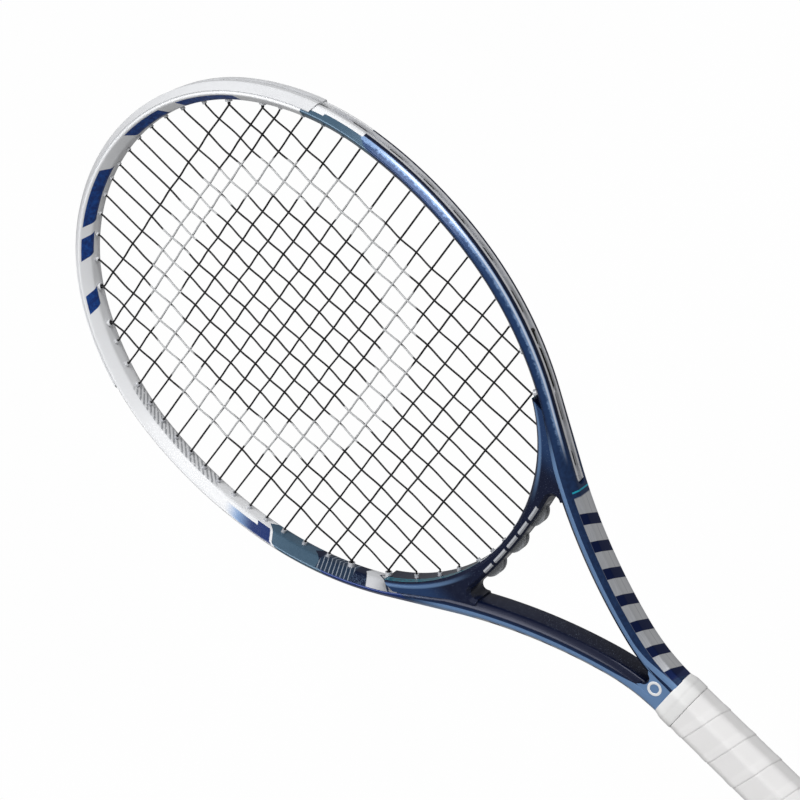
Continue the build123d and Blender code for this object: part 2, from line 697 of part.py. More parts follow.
def make_grip():
    """Wrapped grip as one sleeve: thin under the collar, full along the handle, stepped over the skirt."""
    end = KNOB_TOP_Y + FIT
    outer = handle_block(GRIP, WRAP_TOP_Y, WRAP_FULL_Y, WRAP_THIN_IN)
    outer += handle_block(GRIP, WRAP_FULL_Y, SKIRT_TOP_Y + 4)
    outer += handle_block(GRIP, SKIRT_TOP_Y + 4, SKIRT_TOP_Y, 0, -SKIRT_THICKNESS)
    outer += handle_block(GRIP, SKIRT_TOP_Y, end, -SKIRT_THICKNESS)
    inner = handle_block(GRIP, WRAP_TOP_Y + 1, SKIRT_TOP_Y + FIT, PALLET_IN - FIT)
    inner += handle_block(GRIP, SKIRT_TOP_Y + FIT, end - 1, PALLET_IN - SKIRT_THICKNESS - 2 * FIT)
    return outer - inner


def make_tape():
    """Finishing tape round the top of the grip."""
    return (handle_block(GRIP, TAPE_TOP_Y, TAPE_END_Y, WRAP_THIN_IN - FIT - TAPE_THICKNESS)
            - handle_block(GRIP, TAPE_TOP_Y + 1, TAPE_END_Y - 1, WRAP_THIN_IN - FIT))


def make_collar():
    """Rubber band that holds the top of the grip: a lip round the shaft and a skirt over the tape."""
    lip = loft([across(COLLAR_TOP_Y) * octagon(SHAFT, -0.7), across(COLLAR_STEP_Y) * octagon(GRIP, 0.1)],
               ruled=True)
    skirt = handle_block(GRIP, COLLAR_STEP_Y, COLLAR_END_Y, 0.1)
    bore = handle_block(SHAFT, COLLAR_TOP_Y + 1, COLLAR_STEP_Y - 0.1, -2 * FIT)
    sleeve = handle_block(GRIP, COLLAR_STEP_Y, COLLAR_END_Y - 1, WRAP_THIN_IN - 2 * FIT - TAPE_THICKNESS)
    return lip + skirt - bore - sleeve


# ---------------------------------------------------------------- export

def save(name, shape):
    """Move a piece to the racket's own origin and write it."""
    export_step(Pos(0, BED_Y, BUTT_HALF_THICKNESS) * shape, f"parts/{name}.step")


def main():
    os.makedirs("parts", exist_ok=True)
    outer = outer_tube()
    bridge, core = make_bridge(outer)
    left_strip, right_strip = make_side_strips()
    front_pallet, back_pallet = make_pallets()
    pieces = {
        "frame_tube": make_frame(outer),
        "throat_bridge": bridge,
        "bridge_core": core,
        "bumper_guard": make_bumper(),
        "left_grommet_strip": left_strip,
        "right_grommet_strip": right_strip,
        "throat_grommet_strip": make_throat_strip(),
        "main_string": make_main_string(),
        "cross_string": make_cross_string(),
        "front_pallet": front_pallet,
        "back_pallet": back_pallet,
        "tube_end_plugs": make_plugs(),
        "butt_cap": make_butt_cap(),
        "butt_cap_staples": staple_blocks(),
        "butt_cap_door": make_door(),
        "base_grip": make_grip(),
        "finishing_tape": make_tape(),
        "grip_collar": make_collar(),
    }
    for name, shape in pieces.items():
        save(name, shape)


if __name__ == "__main__":
    main()
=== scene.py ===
import bpy
import bmesh
from functools import reduce
from math import ceil, cos, pi, radians, sin, sqrt
from mathutils import Matrix, Vector


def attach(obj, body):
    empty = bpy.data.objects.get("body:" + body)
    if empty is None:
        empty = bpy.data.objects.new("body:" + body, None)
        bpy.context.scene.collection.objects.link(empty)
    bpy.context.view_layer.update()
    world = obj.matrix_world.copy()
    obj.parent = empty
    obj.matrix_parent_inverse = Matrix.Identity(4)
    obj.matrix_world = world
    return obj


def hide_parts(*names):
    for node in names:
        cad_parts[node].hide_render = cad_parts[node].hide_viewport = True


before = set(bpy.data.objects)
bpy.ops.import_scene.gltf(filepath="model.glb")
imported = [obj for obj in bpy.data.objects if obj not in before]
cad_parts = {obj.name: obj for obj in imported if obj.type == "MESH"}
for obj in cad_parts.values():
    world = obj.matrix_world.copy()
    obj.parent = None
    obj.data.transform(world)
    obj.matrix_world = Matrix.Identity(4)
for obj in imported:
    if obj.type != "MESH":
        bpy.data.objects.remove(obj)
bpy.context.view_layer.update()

# ---- sizes
# Millimetres, measured from the middle of the string bed; place() turns them into scene metres.

BED_Y = 167.1  # from the middle of the racket to the middle of the bed
BED_Z = 16.9

# Ridge line from the tip down the right side: radius and degrees of each arc, turning right;
# a negative radius turns left, and a straight run lies between the head and the arm
RIDGE_TOP_Y = 170.2
HEAD_ARCS = [(121.5, 52.5), (169, 29), (272, 20.5), (227, 23.5)]
ARM_STRAIGHT = 41.9
ARM_ARCS = [(-355, 17.5), (-129, 18)]
SHAFT_TOP_Y = -308.0

# Inner wall of the head: two half superellipses that meet at EGG_Y
EGG_POWER = 2.1
EGG_HALF_WIDTH = 126.0
EGG_Y = 8.0
EGG_TOP = 156.0
EGG_BOTTOM = 179.5

# Beam, measured outwards from the ridge line: inner wall, both edges of the ridge flat, outer wall,
# half heights of the inner and outer walls, half thickness
RIDGE_OUT = 6.1
HEAD_BEAM = (-RIDGE_OUT, -1.2, 0, 4.3, 4.5, 5.5, 11.4)
ARM_BEAM = (-8.5, -4.6, 0, 4.3, 8.0, 6.2, 11.4)
CHANNEL_FLOOR = 1.3
CHANNEL_HALF = 3.8
CHANNEL_END_Y = -182.0
CHANNEL_LIP = 0.35
STATION_STEP = 0.5
COARSE = 5  # only each fifth station is used away from the channel's ends
HOLE_RADIUS = 1.55
SHARED_HOLE_EXTRA = 0.8  # holes that a main and a cross share are this much wider

# Wedge between the arms, from the crotch down to the shaft
WEB_TOP_Y = -287.0
WEB_BOTTOM_Y = -307.5
WEB_HALF_WIDTH = 6.2
WEB_HALF_THICKNESS = 11.36
WEB_EDGE = 0.6
WEB_PAINT_S = 560.0  # the wedge takes the tube's paint at this distance from the tip
CROTCH_RADIUS = 4.2
CROTCH_SIDES = 12

# String pattern
STRING_RADIUS = 0.61
STRING_SEAT = 3.15  # centre of a string above the ridge line, in the channel
KNOT_SEAT = 3.95
KNOT_RADIUS = 1.35
TAIL_OUT = 6
TAIL_ALONG = 8
LOOP_CLEARANCE = 0.15  # between the bridge and the strings that run over it
LOOP_SAG = 0.1
WEAVE = 0.72  # height of a string above the middle of the bed at a crossing
MAINS_RIGHT = [6.25, 17.75, 29.75, 42.25, 54.75, 68.25, 83.25, 98.25]
TOP_CROSS_Y = 129.25
CROSS_PITCHES = [16.5, 14.5, 14, 13.5, 13.5, 13, 13.5, 13, 13, 12.5, 13, 13, 13, 13.5, 15, 16.5, 17.5, 20]
MOUTH_INSET = 3.3  # mouth of a grommet inside the inner wall
CROSSING_MARGIN = 1.5  # crossings nearer a mouth than this are left out
CORNER_EXIT_Y = [-176, -165, -153, -136]
FIRST_CORNER_MAIN = 3  # mains from here outwards miss the bridge
SHARED = {0: 1, 1: 0}  # main from the side: cross from the end, in one hole
BRIDGE_OUTER_RADIUS = 300.0
BRIDGE_OUTER_Y = -178.5
BRIDGE_INNER_RADIUS = 106.0
BRIDGE_INNER_Y = -171.5

# Handle: half width, half thickness, half flats of the octagon; the wrap's spiral
GRIP = (16.3, 14.2, 9.2, 5.6)
GRIP_TOP_Y = -311.6
GRIP_SKIRT_Y = -478.0
GRIP_END_Y = -499.9
SKIRT_RUN = 4
UNDER_COLLAR_Y = -318.7
WRAP_PITCH = 20.7
WRAP_SEAM_Y = -331.0
WRAP_OVERLAP = 3.6
WRAP_STEP = 0.32
WRAP_ROW = 0.42  # height of the rows of the wrap's mesh
SEAM_WIDTH = 0.7
SEAM_DEPTH = 0.22

BADGE_Y = -297
BADGE_BASE_Z = 11.34
BADGE_SIDES = 48


def place(x, y, z=0.0):
    """Millimetres from the middle of the string bed to scene metres."""
    return Vector((x, y + BED_Y, z + BED_Z)) / 1000


# ---- ridge line

def ridge_path(step):
    """Stations of the right half, tip to shaft: (distance, x, y, heading in radians clockwise from +X)."""
    stations = []
    x, y, heading, distance = 0.0, RIDGE_TOP_Y, 0.0, 0.0
    for radius, size in HEAD_ARCS + [(0, ARM_STRAIGHT)] + ARM_ARCS:
        length = abs(radius) * radians(size) if radius else size
        count = max(1, ceil(length / step))
        turn = 1 / radius if radius else 0.0
        for i in range(count + 1):
            d = length * i / count
            if radius:
                px = x + (sin(heading + d * turn) - sin(heading)) / turn
                py = y + (cos(heading + d * turn) - cos(heading)) / turn
            else:
                px = x + cos(heading) * d
                py = y - sin(heading) * d
            if i < count:
                stations.append((distance + d, px, py, heading + d * turn))
        x, y = px, py
        heading += length * turn
        distance += length
    stations.append((distance, x, y, heading))
    stations.append((distance + y - SHAFT_TOP_Y, x, SHAFT_TOP_Y, heading))
    return stations


FINE = ridge_path(STATION_STEP)
ARM_START = sum(r * radians(a) for r, a in HEAD_ARCS)
CHANNEL_END = next(st[0] for st in FINE if st[2] < CHANNEL_END_Y)


def nearest_station(x, y):
    """Ridge station nearest to a point of the right half."""
    return min(FINE, key=lambda st: (st[1] - x) ** 2 + (st[2] - y) ** 2)


def seat_near(x, y, height=STRING_SEAT):
    """Point in the channel beside (x, y), this high above the ridge line."""
    side = 1 if x >= 0 else -1
    _, px, py, heading = nearest_station(abs(x), y)
    return Vector((side * (px + sin(heading) * height), py + cos(heading) * height, 0))


def seat_at_height(y, side):
    """Point in the channel at a given y."""
    _, px, py, heading = min(FINE, key=lambda st: abs(st[2] + cos(st[3]) * STRING_SEAT - y))
    return Vector((side * (px + sin(heading) * STRING_SEAT), py + cos(heading) * STRING_SEAT, 0))


def egg_y(x, top, inset):
    """Height of the inner wall above or below x, moved in by inset."""
    reach = (EGG_TOP if top else EGG_BOTTOM) - inset
    height = reach * (1 - abs(x / (EGG_HALF_WIDTH - inset)) ** EGG_POWER) ** (1 / EGG_POWER)
    return EGG_Y + (height if top else -height)


def egg_x(y, inset):
    """Half width inside the head at y, moved in by inset."""
    reach = (EGG_TOP if y >= EGG_Y else EGG_BOTTOM) - inset
    return (EGG_HALF_WIDTH - inset) * (1 - abs((y - EGG_Y) / reach) ** EGG_POWER) ** (1 / EGG_POWER)


def egg_normal(x, y):
    """Outward direction of the inner wall near a point."""
    reach = EGG_TOP if y >= EGG_Y else EGG_BOTTOM
    slope_x = abs(x) ** (EGG_POWER - 1) / EGG_HALF_WIDTH ** EGG_POWER
    slope_y = abs(y - EGG_Y) ** (EGG_POWER - 1) / reach ** EGG_POWER
    return Vector((slope_x if x >= 0 else -slope_x, slope_y if y >= EGG_Y else -slope_y, 0)).normalized()


# ---- string pattern

MAINS = MAINS_RIGHT[::-1] + [-x for x in MAINS_RIGHT]
CROSSES = [TOP_CROSS_Y]
for pitch in CROSS_PITCHES:
    CROSSES.append(CROSSES[-1] - pitch)


def make_holes():
    """String holes by the string ends that use them: (mouth, leave, shared, on_bridge)."""
    holes = {}
    last = len(MAINS) - 1
    for index, x in enumerate(MAINS):
        side = 1 if x > 0 else -1
        from_side = min(index, last - index)
        from_middle = len(MAINS) // 2 - 1 - from_side
        for top in (True, False):
            mouth = Vector((x, egg_y(x, top, MOUTH_INSET), 0))
            shares = None
            if from_side in SHARED:
                shares = SHARED[from_side] if top else len(CROSSES) - 1 - SHARED[from_side]
                cross_y = CROSSES[shares]
                mouth = (mouth + Vector((side * egg_x(cross_y, MOUTH_INSET), cross_y, 0))) / 2
            outward = egg_normal(mouth.x, mouth.y)
            if shares is None:
                aim = (outward + Vector((0, 1 if top else -1, 0))).normalized()
            else:
                aim = outward
            corner = from_middle - FIRST_CORNER_MAIN
            if not top and corner < 0:
                lowest = BRIDGE_OUTER_Y + BRIDGE_OUTER_RADIUS - sqrt(BRIDGE_OUTER_RADIUS ** 2 - x ** 2)
                leave = Vector((x, lowest - STRING_RADIUS - LOOP_CLEARANCE, 0))
            elif not top and corner < len(CORNER_EXIT_Y):
                leave = seat_at_height(CORNER_EXIT_Y[corner], side)
            else:
                out = mouth + aim * (MOUTH_INSET + RIDGE_OUT + STRING_SEAT) / aim.dot(outward)
                leave = seat_near(out.x, out.y)
            hole = (mouth, leave, shares is not None, not top and corner < 0)
            holes["main", index, top] = hole
            if shares is not None:
                holes["cross", shares, side > 0] = hole
    for index, y in enumerate(CROSSES):
        for right in (True, False):
            if ("cross", index, right) in holes:
                continue
            side = 1 if right else -1
            mouth = Vector((side * egg_x(y, MOUTH_INSET), y, 0))
            outward = egg_normal(mouth.x, mouth.y)
            aim = (outward + Vector((side, 0, 0))).normalized()
            out = mouth + aim * (MOUTH_INSET + RIDGE_OUT + STRING_SEAT) / aim.dot(outward)
            holes["cross", index, right] = (mouth, seat_near(out.x, out.y), False, False)
    return holes


HOLES = make_holes()
ALL_HOLES = list({id(hole): hole for hole in HOLES.values()}.values())

# ---- mesh helpers

def finish_mesh(name, bm, smooth=True, recalc=True):
    """Turn a bmesh into an object in the scene."""
    if recalc:
        bmesh.ops.recalc_face_normals(bm, faces=bm.faces)
    mesh = bpy.data.meshes.new(name)
    bm.to_mesh(mesh)
    bm.free()
    piece = bpy.data.objects.new(name, mesh)
    bpy.context.scene.collection.objects.link(piece)
    if smooth:
        mesh.polygons.foreach_set("use_smooth", [True] * len(mesh.polygons))
    return piece


def skin(bm, rings):
    """Quads between each pair of neighbouring closed rings."""
    faces = []
    for low, high in zip(rings, rings[1:]):
        for j in range(len(low)):
            k = (j + 1) % len(low)
            faces.append(bm.faces.new([low[j], low[k], high[k], high[j]]))
    return faces


CORNER_SHARE = 0.48  # a rounded corner takes at most this share of each side


def rounded_ring(corners, steps=4):
    """Outline with rounded corners but for its two ends: corners are (a, b, value, radius)."""
    points = []
    count = len(corners)
    for i, (a, b, value, radius) in enumerate(corners):
        if radius == 0 or i in (0, count - 1):
            points.append((a, b, value))
            continue
        before, after = corners[i - 1], corners[i + 1]
        here = Vector((a, b))
        back = Vector(before[:2]) - here
        ahead = Vector(after[:2]) - here
        start = min(radius, back.length * CORNER_SHARE)
        end = min(radius, ahead.length * CORNER_SHARE)
        first = here + back.normalized() * start
        second = here + ahead.normalized() * end
        v_first = value + (before[2] - value) * start / back.length
        v_second = value + (after[2] - value) * end / ahead.length
        for k in range(steps + 1):
            t = k / steps
            spot = first * (1 - t) ** 2 + here * 2 * t * (1 - t) + second * t ** 2
            points.append((spot.x, spot.y, v_first + (v_second - v_first) * t))
    return points


def sweep(name, stations, section):
    """Tube through stations (s, x, y, outward); section(s) gives its closed outline as (out, z, v)."""
    bm = bmesh.new()
    paint = bm.loops.layers.uv.new("paint")
    rings = []
    for s, x, y, outward in stations:
        ring = []
        for out, z, v in section(s):
            vert = bm.verts.new(place(x + outward.x * out, y + outward.y * out, z))
            ring.append((vert, s, v))
        rings.append(ring)
    for ring, following in zip(rings, rings[1:]):
        for j in range(len(ring)):
            k = (j + 1) % len(ring)
            corners = [ring[j], ring[k], following[k], following[j]]
            face = bm.faces.new([c[0] for c in corners])
            flip = ring[j][2] > 0 and ring[k][2] < 0  # the quad from the front over to the back
            for loop, (_, s, v) in zip(face.loops, corners):
                loop[paint].uv = (s / 1000, -abs(v) if flip else v)
    for ring in (rings[0], rings[-1]):
        face = bm.faces.new([c[0] for c in ring])
        for loop, (_, s, v) in zip(face.loops, ring):
            loop[paint].uv = (s / 1000, v)
    return finish_mesh(name, bm)


def boolean(piece, other, operation):
    """Apply one exact boolean and delete the tool."""
    modifier = piece.modifiers.new("cut", "BOOLEAN")
    modifier.operation = operation
    modifier.solver = "EXACT"
    modifier.object = other
    depsgraph = bpy.context.evaluated_depsgraph_get()
    mesh = bpy.data.meshes.new_from_object(piece.evaluated_get(depsgraph))
    piece.modifiers.clear()
    piece.data = mesh
    bpy.data.objects.remove(other)


def sharpen(piece, angle=32):
    """Smooth shading, with the edges that turn more than this many degrees kept sharp."""
    bm = bmesh.new()
    bm.from_mesh(piece.data)
    for edge in bm.edges:
        if len(edge.link_faces) == 2:
            edge.smooth = edge.calc_face_angle(0) < radians(angle)
    for face in bm.faces:
        face.smooth = True
    bm.to_mesh(piece.data)
    bm.free()


def mix_value(a, b, t):
    """Number a at t = 0, number b at t = 1."""
    return a + (b - a) * t


# ---- frame tube

def channel_width(s):
    """Half width of the string channel: it ends in a half round on each arm."""
    left = CHANNEL_END - abs(s)
    if left >= CHANNEL_HALF:
        return CHANNEL_HALF
    if left <= 0:
        return 0.0
    return sqrt(max(0.0, CHANNEL_HALF ** 2 - (CHANNEL_HALF - left) ** 2))


def frame_section(s):
    """Closed outline of the beam at a distance from the tip: (out, z, facet).

    Facets count up from the middle of the inner wall: 1 its edge, 2 and 3 the ridge flat,
    4 the outer edge, 5 the channel's lip, 7 the channel's middle; minus at the back.
    """
    t = min(1.0, max(0.0, (abs(s) - ARM_START) / ARM_STRAIGHT))
    inner, flat_in, flat_out, outer, side_in, side_out, half = [
        mix_value(a, b, t) for a, b in zip(HEAD_BEAM, ARM_BEAM)]
    groove = channel_width(s)
    floor = CHANNEL_FLOOR if groove > 0 else outer
    lip = max(groove, CHANNEL_LIP)
    front = [(inner, 0, 0, 0), (inner, side_in, 1, 1.3), (flat_in, half, 2, 1.1), (flat_out, half, 3, 1.0),
             (outer, side_out, 4, 0.9), (outer, lip, 5, 0.25), (floor, lip - 0.02, 6, 0), (floor, 0, 7, 0)]
    points = rounded_ring(front)
    return points + [(out, -z, -v) for out, z, v in reversed(points[1:-1])]


def rods(holes, past_end, sides=16):
    """Closed round bars from each hole's mouth to past its outer end, as one cutting mesh."""
    bm = bmesh.new()
    for mouth, leave, shared, _ in holes:
        direction = (leave - mouth).normalized()
        size = HOLE_RADIUS + (SHARED_HOLE_EXTRA if shared else 0)
        end = leave + direction * past_end
        middle = (mouth + end) / 2
        turn = direction.to_track_quat("Z", "Y").to_matrix().to_4x4()
        matrix = Matrix.Translation(place(*middle)) @ turn
        bmesh.ops.create_cone(bm, cap_ends=True, segments=sides, radius1=size / 1000, radius2=size / 1000,
                              depth=(end - mouth).length / 1000, matrix=matrix)
    return finish_mesh("cutters", bm, smooth=False, recalc=False)


def channel_stations():
    """Stations of the whole frame, closer together where the channel ends."""
    chosen = []
    for index, (s, x, y, heading) in enumerate(FINE):
        close = abs(s - CHANNEL_END + 2) < 3.2
        if close or index % COARSE == 0 or index == len(FINE) - 1:
            chosen.append((s, x, y, Vector((sin(heading), cos(heading)))))
    left = [(-s, -x, y, Vector((-out.x, out.y))) for s, x, y, out in reversed(chosen) if s > 0]
    return left + chosen


def web_mesh():
    """Filled wedge between the arms below the crotch, with its round throat end."""
    bm = bmesh.new()
    paint = bm.loops.layers.uv.new("paint")
    outline = [(-WEB_HALF_WIDTH, WEB_BOTTOM_Y), (WEB_HALF_WIDTH, WEB_BOTTOM_Y), (WEB_HALF_WIDTH, WEB_TOP_Y)]
    for k in range(1, CROTCH_SIDES):
        angle = pi * k / CROTCH_SIDES
        outline.append((CROTCH_RADIUS * cos(angle), WEB_TOP_Y - CROTCH_RADIUS * sin(angle)))
    outline.append((-WEB_HALF_WIDTH, WEB_TOP_Y))
    half = WEB_HALF_THICKNESS
    rings = []
    for z, grow in ((-half, WEB_EDGE), (-half + WEB_EDGE, 0.0), (half - WEB_EDGE, 0.0), (half, WEB_EDGE)):
        ring = []
        for x, y in outline:
            dip = grow if abs(x) < CROTCH_RADIUS + 0.1 and y > WEB_BOTTOM_Y else 0
            ring.append(bm.verts.new(place(x, y - dip, z)))
        rings.append(ring)
    painted = [(face, 0.5) for face in skin(bm, rings)]
    painted += [(bm.faces.new(ring), v) for ring, v in ((rings[0], -2.5), (rings[-1], 2.5))]
    for face, v in painted:
        for loop in face.loops:
            loop[paint].uv = (WEB_PAINT_S / 1000, v)
    return finish_mesh("web", bm)


def build_frame():
    """Tube of the frame with its channel and string holes."""
    tube = sweep("frame_shell", channel_stations(), frame_section)
    boolean(tube, web_mesh(), "UNION")
    on_tube = [hole for hole in ALL_HOLES if not hole[3]]
    boolean(tube, rods(on_tube, 2.0), "DIFFERENCE")
    sharpen(tube)
    return tube


# ---- strings

def weave_side(main, cross):
    """+1 where the main lies over the cross, -1 where it lies under."""
    return 1 if (main + cross) % 2 == 0 else -1


def wave(start, end, crossings, axis, count):
    """Bed stretch of a string: straight in plan, rising and falling from crossing to crossing."""
    knots = [(start[axis], start.z)] + crossings + [(end[axis], end.z)]
    points = []
    for (a, za), (b, zb) in zip(knots, knots[1:]):
        for k in range(count):
            t = k / count
            along = mix_value(a, b, t)
            share = (along - start[axis]) / (end[axis] - start[axis])
            spot = start.lerp(end, share)
            spot[axis] = along
            spot.z = mix_value(za, zb, (1 - cos(pi * t)) / 2)
            points.append(spot)
    points.append(end.copy())
    return points


def string_points(kind):
    """Smooth centre line of one string through all its holes and loops."""
    is_main = kind == "main"
    lines, others = (MAINS, CROSSES) if is_main else (CROSSES, MAINS)
    sign = 1 if is_main else -1
    axis = 1 if is_main else 0
    turned = 0 if is_main else 1  # every second run goes back, from this one on
    points = []
    previous = None
    for index in range(len(lines)):
        ends = [HOLES[kind, index, True], HOLES[kind, index, False]]
        crossings = []
        for other, spot in enumerate(others):
            main, cross = (index, other) if is_main else (other, index)
            if abs(MAINS[main]) < egg_x(CROSSES[cross], MOUTH_INSET) - CROSSING_MARGIN:
                crossings.append((spot, sign * WEAVE * weave_side(main, cross)))
        if index % 2 == turned:
            ends.reverse()
            crossings.reverse()
        (mouth_a, leave_a, shared_a, bridge_a), (mouth_b, leave_b, shared_b, _) = ends
        lift_a = Vector((0, 0, sign * WEAVE * shared_a))
        lift_b = Vector((0, 0, sign * WEAVE * shared_b))
        if previous is None:
            points += tail(kind, leave_a, True)
        else:
            points += loop(previous, leave_a + lift_a, bridge_a)
        points += [(leave_a + lift_a).lerp(mouth_a + lift_a, t) for t in (0.12, 0.5, 0.9)]
        points += wave(mouth_a + lift_a, mouth_b + lift_b, crossings, axis, 6)
        points += [(mouth_b + lift_b).lerp(leave_b + lift_b, t) for t in (0.1, 0.5, 0.88)]
        previous = leave_b + lift_b
    points += tail(kind, leave_b, False)
    return points


def loop(start, end, on_bridge, spacing=3):
    """A string's run along the channel from one hole to the next."""
    count = max(3, ceil((end - start).length / spacing))
    points = []
    for k in range(1, count):
        t = k / count
        spot = start.lerp(end, t)
        if on_bridge:
            spot.y -= LOOP_SAG
        else:
            seat = seat_near(spot.x, spot.y)
            spot = Vector((seat.x, seat.y, mix_value(start.z, end.z, t)))
        points.append(spot)
    return points


def tail(kind, leave, first):
    """From the knot to the hole, or from the last hole to its knot."""
    side = 1 if leave.x > 0 else -1
    step = -TAIL_ALONG if kind == "main" and not first else TAIL_ALONG
    points = []
    for t in (1.0, 0.7, 0.4, 0.15):
        height = mix_value(STRING_SEAT, KNOT_SEAT, t)
        spot = seat_near(leave.x + side * TAIL_OUT * t, leave.y + step * t, height)
        points.append(spot)
    return points if first else points[::-1]


def string_piece(name, kind):
    """One whole string as a round mesh, with a knot at each end."""
    points = string_points(kind)
    curve = bpy.data.curves.new(name, "CURVE")
    curve.dimensions = "3D"
    curve.bevel_depth = STRING_RADIUS / 1000
    curve.bevel_resolution = 2
    curve.use_fill_caps = True
    spline = curve.splines.new("POLY")
    spline.points.add(len(points) - 1)
    for target, spot in zip(spline.points, points):
        target.co = (*place(*spot), 1)
    raw = bpy.data.objects.new(name + "_line", curve)
    bpy.context.scene.collection.objects.link(raw)
    bpy.context.view_layer.update()
    mesh = bpy.data.meshes.new_from_object(raw.evaluated_get(bpy.context.evaluated_depsgraph_get()))
    bpy.data.objects.remove(raw)
    bm = bmesh.new()
    bm.from_mesh(mesh)
    for spot in (points[0], points[-1]):
        bmesh.ops.create_icosphere(bm, subdivisions=3, radius=KNOT_RADIUS / 1000,
                                   matrix=Matrix.Translation(place(*spot)))
    return finish_mesh(name, bm, recalc=False)


# ---- handle

def octagon_ring(size, radius, steps=5, spacing=1.2):
    """Rounded octagon round the handle: (x, z, share of the way round)."""
    w, t, fw, fs = size
    corners = [(0, t), (fw, t), (w, fs), (w, -fs), (fw, -t)]
    corners += [(-x, z) for x, z in reversed(corners[1:])] + corners[:1]
    listed = [(x, z, i, radius) for i, (x, z) in enumerate(corners)]
    points = rounded_ring(listed, steps)[:-1]
    dense = []
    for (x0, z0, _), (x1, z1, _) in zip(points, points[1:] + points[:1]):
        count = max(1, ceil(sqrt((x1 - x0) ** 2 + (z1 - z0) ** 2) / spacing))
        dense += [(mix_value(x0, x1, k / count), mix_value(z0, z1, k / count)) for k in range(count)]
    lengths = [0.0]
    for (x0, z0), (x1, z1) in zip(dense, dense[1:] + dense[:1]):
        lengths.append(lengths[-1] + sqrt((x1 - x0) ** 2 + (z1 - z0) ** 2))
    return [(x, z, along / lengths[-1]) for (x, z), along in zip(dense, lengths)]


def handle_shell(name, rows, radius, relief=None):
    """Closed sleeve round the handle through rows of (height, inset), outside first, then back inside."""
    outline = octagon_ring(GRIP, radius)
    half_width, half_thickness = GRIP[:2]
    bm = bmesh.new()
    seam = bm.verts.layers.float.new("seam")
    rings = []
    for y, inset in rows:
        ring = []
        for x, z, share in outline:
            extra = relief(y, share) if relief and inset < 1 else 0.0
            scale_x = (half_width - inset + extra) / half_width
            scale_z = (half_thickness - inset + extra) / half_thickness
            vert = bm.verts.new(place(x * scale_x, y, z * scale_z))
            vert[seam] = max(0.0, -extra / SEAM_DEPTH)
            ring.append(vert)
        rings.append(ring)
    skin(bm, rings + rings[:1])
    return finish_mesh(name, bm)


def wrap_relief(y, share):
    """Thickness of the overlapping wrap above its mean surface."""
    down = (WRAP_SEAM_Y - y) - WRAP_PITCH * share
    phase = down % WRAP_PITCH
    above_seam = WRAP_PITCH - phase
    if above_seam < WRAP_OVERLAP:
        edge = min(1.0, above_seam / 0.5)
        return WRAP_STEP * sqrt(edge) * (1 - 0.35 * above_seam / WRAP_OVERLAP)
    if phase < SEAM_WIDTH:
        return -SEAM_DEPTH * (1 - phase / SEAM_WIDTH)
    fade = max(0.0, 1 - (above_seam - WRAP_OVERLAP) / 2.5)
    return WRAP_STEP * 0.65 * fade


def build_grip():
    """Spiral wrap from the collar down over the flare of the butt."""
    wrap, hidden, bore = 0.32, 0.9, 1.7
    flare_top = GRIP_SKIRT_Y + SKIRT_RUN
    straight_rows = int((GRIP_TOP_Y - GRIP_SKIRT_Y) / WRAP_ROW)
    flare_rows = 52
    rows = []
    for k in range(straight_rows + 1):
        y = mix_value(GRIP_TOP_Y, flare_top, k / straight_rows)
        rows.append((y, hidden if y > UNDER_COLLAR_Y else wrap))
    for k in range(1, flare_rows + 1):
        y = mix_value(flare_top, GRIP_END_Y, k / flare_rows)
        rows.append((y, wrap - min(1.0, (flare_top - y) / SKIRT_RUN)))
    rows += [(GRIP_END_Y, 0.9), (GRIP_SKIRT_Y, 0.95), (GRIP_SKIRT_Y + 1, bore), (GRIP_TOP_Y, bore)]
    return handle_shell("wrapped_grip", rows, 2.4, wrap_relief)


def build_collar():
    """Rubber band with a rolled top over the upper end of the wrap: (height, inset) down its outside."""
    outside = [(-305.6, 2.1), (-305.55, 1.3), (-306.0, 1.0), (-307.4, 0.75), (-309.6, 0.1), (-310.8, -0.02),
               (-311.6, -0.08), (-312.1, 0.02), (-312.6, -0.08), (-317.6, -0.1), (-318.3, -0.02),
               (-318.6, 0.15), (-318.6, 0.6)]
    inside = [(-311.6, 0.68), (-311.2, 1.85), (-306, 1.9)]
    return handle_shell("grip_collar_band", outside + inside, 2.6)


def build_badge():
    """Plain raised ring on the front of the shaft."""
    bm = bmesh.new()
    outline = [(4.7, 0.0), (4.6, 0.14), (4.2, 0.18), (3.4, 0.18), (3.0, 0.14), (2.9, 0.0)]
    rings = []
    for radius, lift in outline:
        ring = []
        for k in range(BADGE_SIDES):
            angle = 2 * pi * k / BADGE_SIDES
            spot = place(radius * cos(angle), BADGE_Y + radius * sin(angle), BADGE_BASE_Z + lift)
            ring.append(bm.verts.new(spot))
        rings.append(ring)
    skin(bm, rings + rings[:1])
    return finish_mesh("badge_ring", bm)


# ---- materials

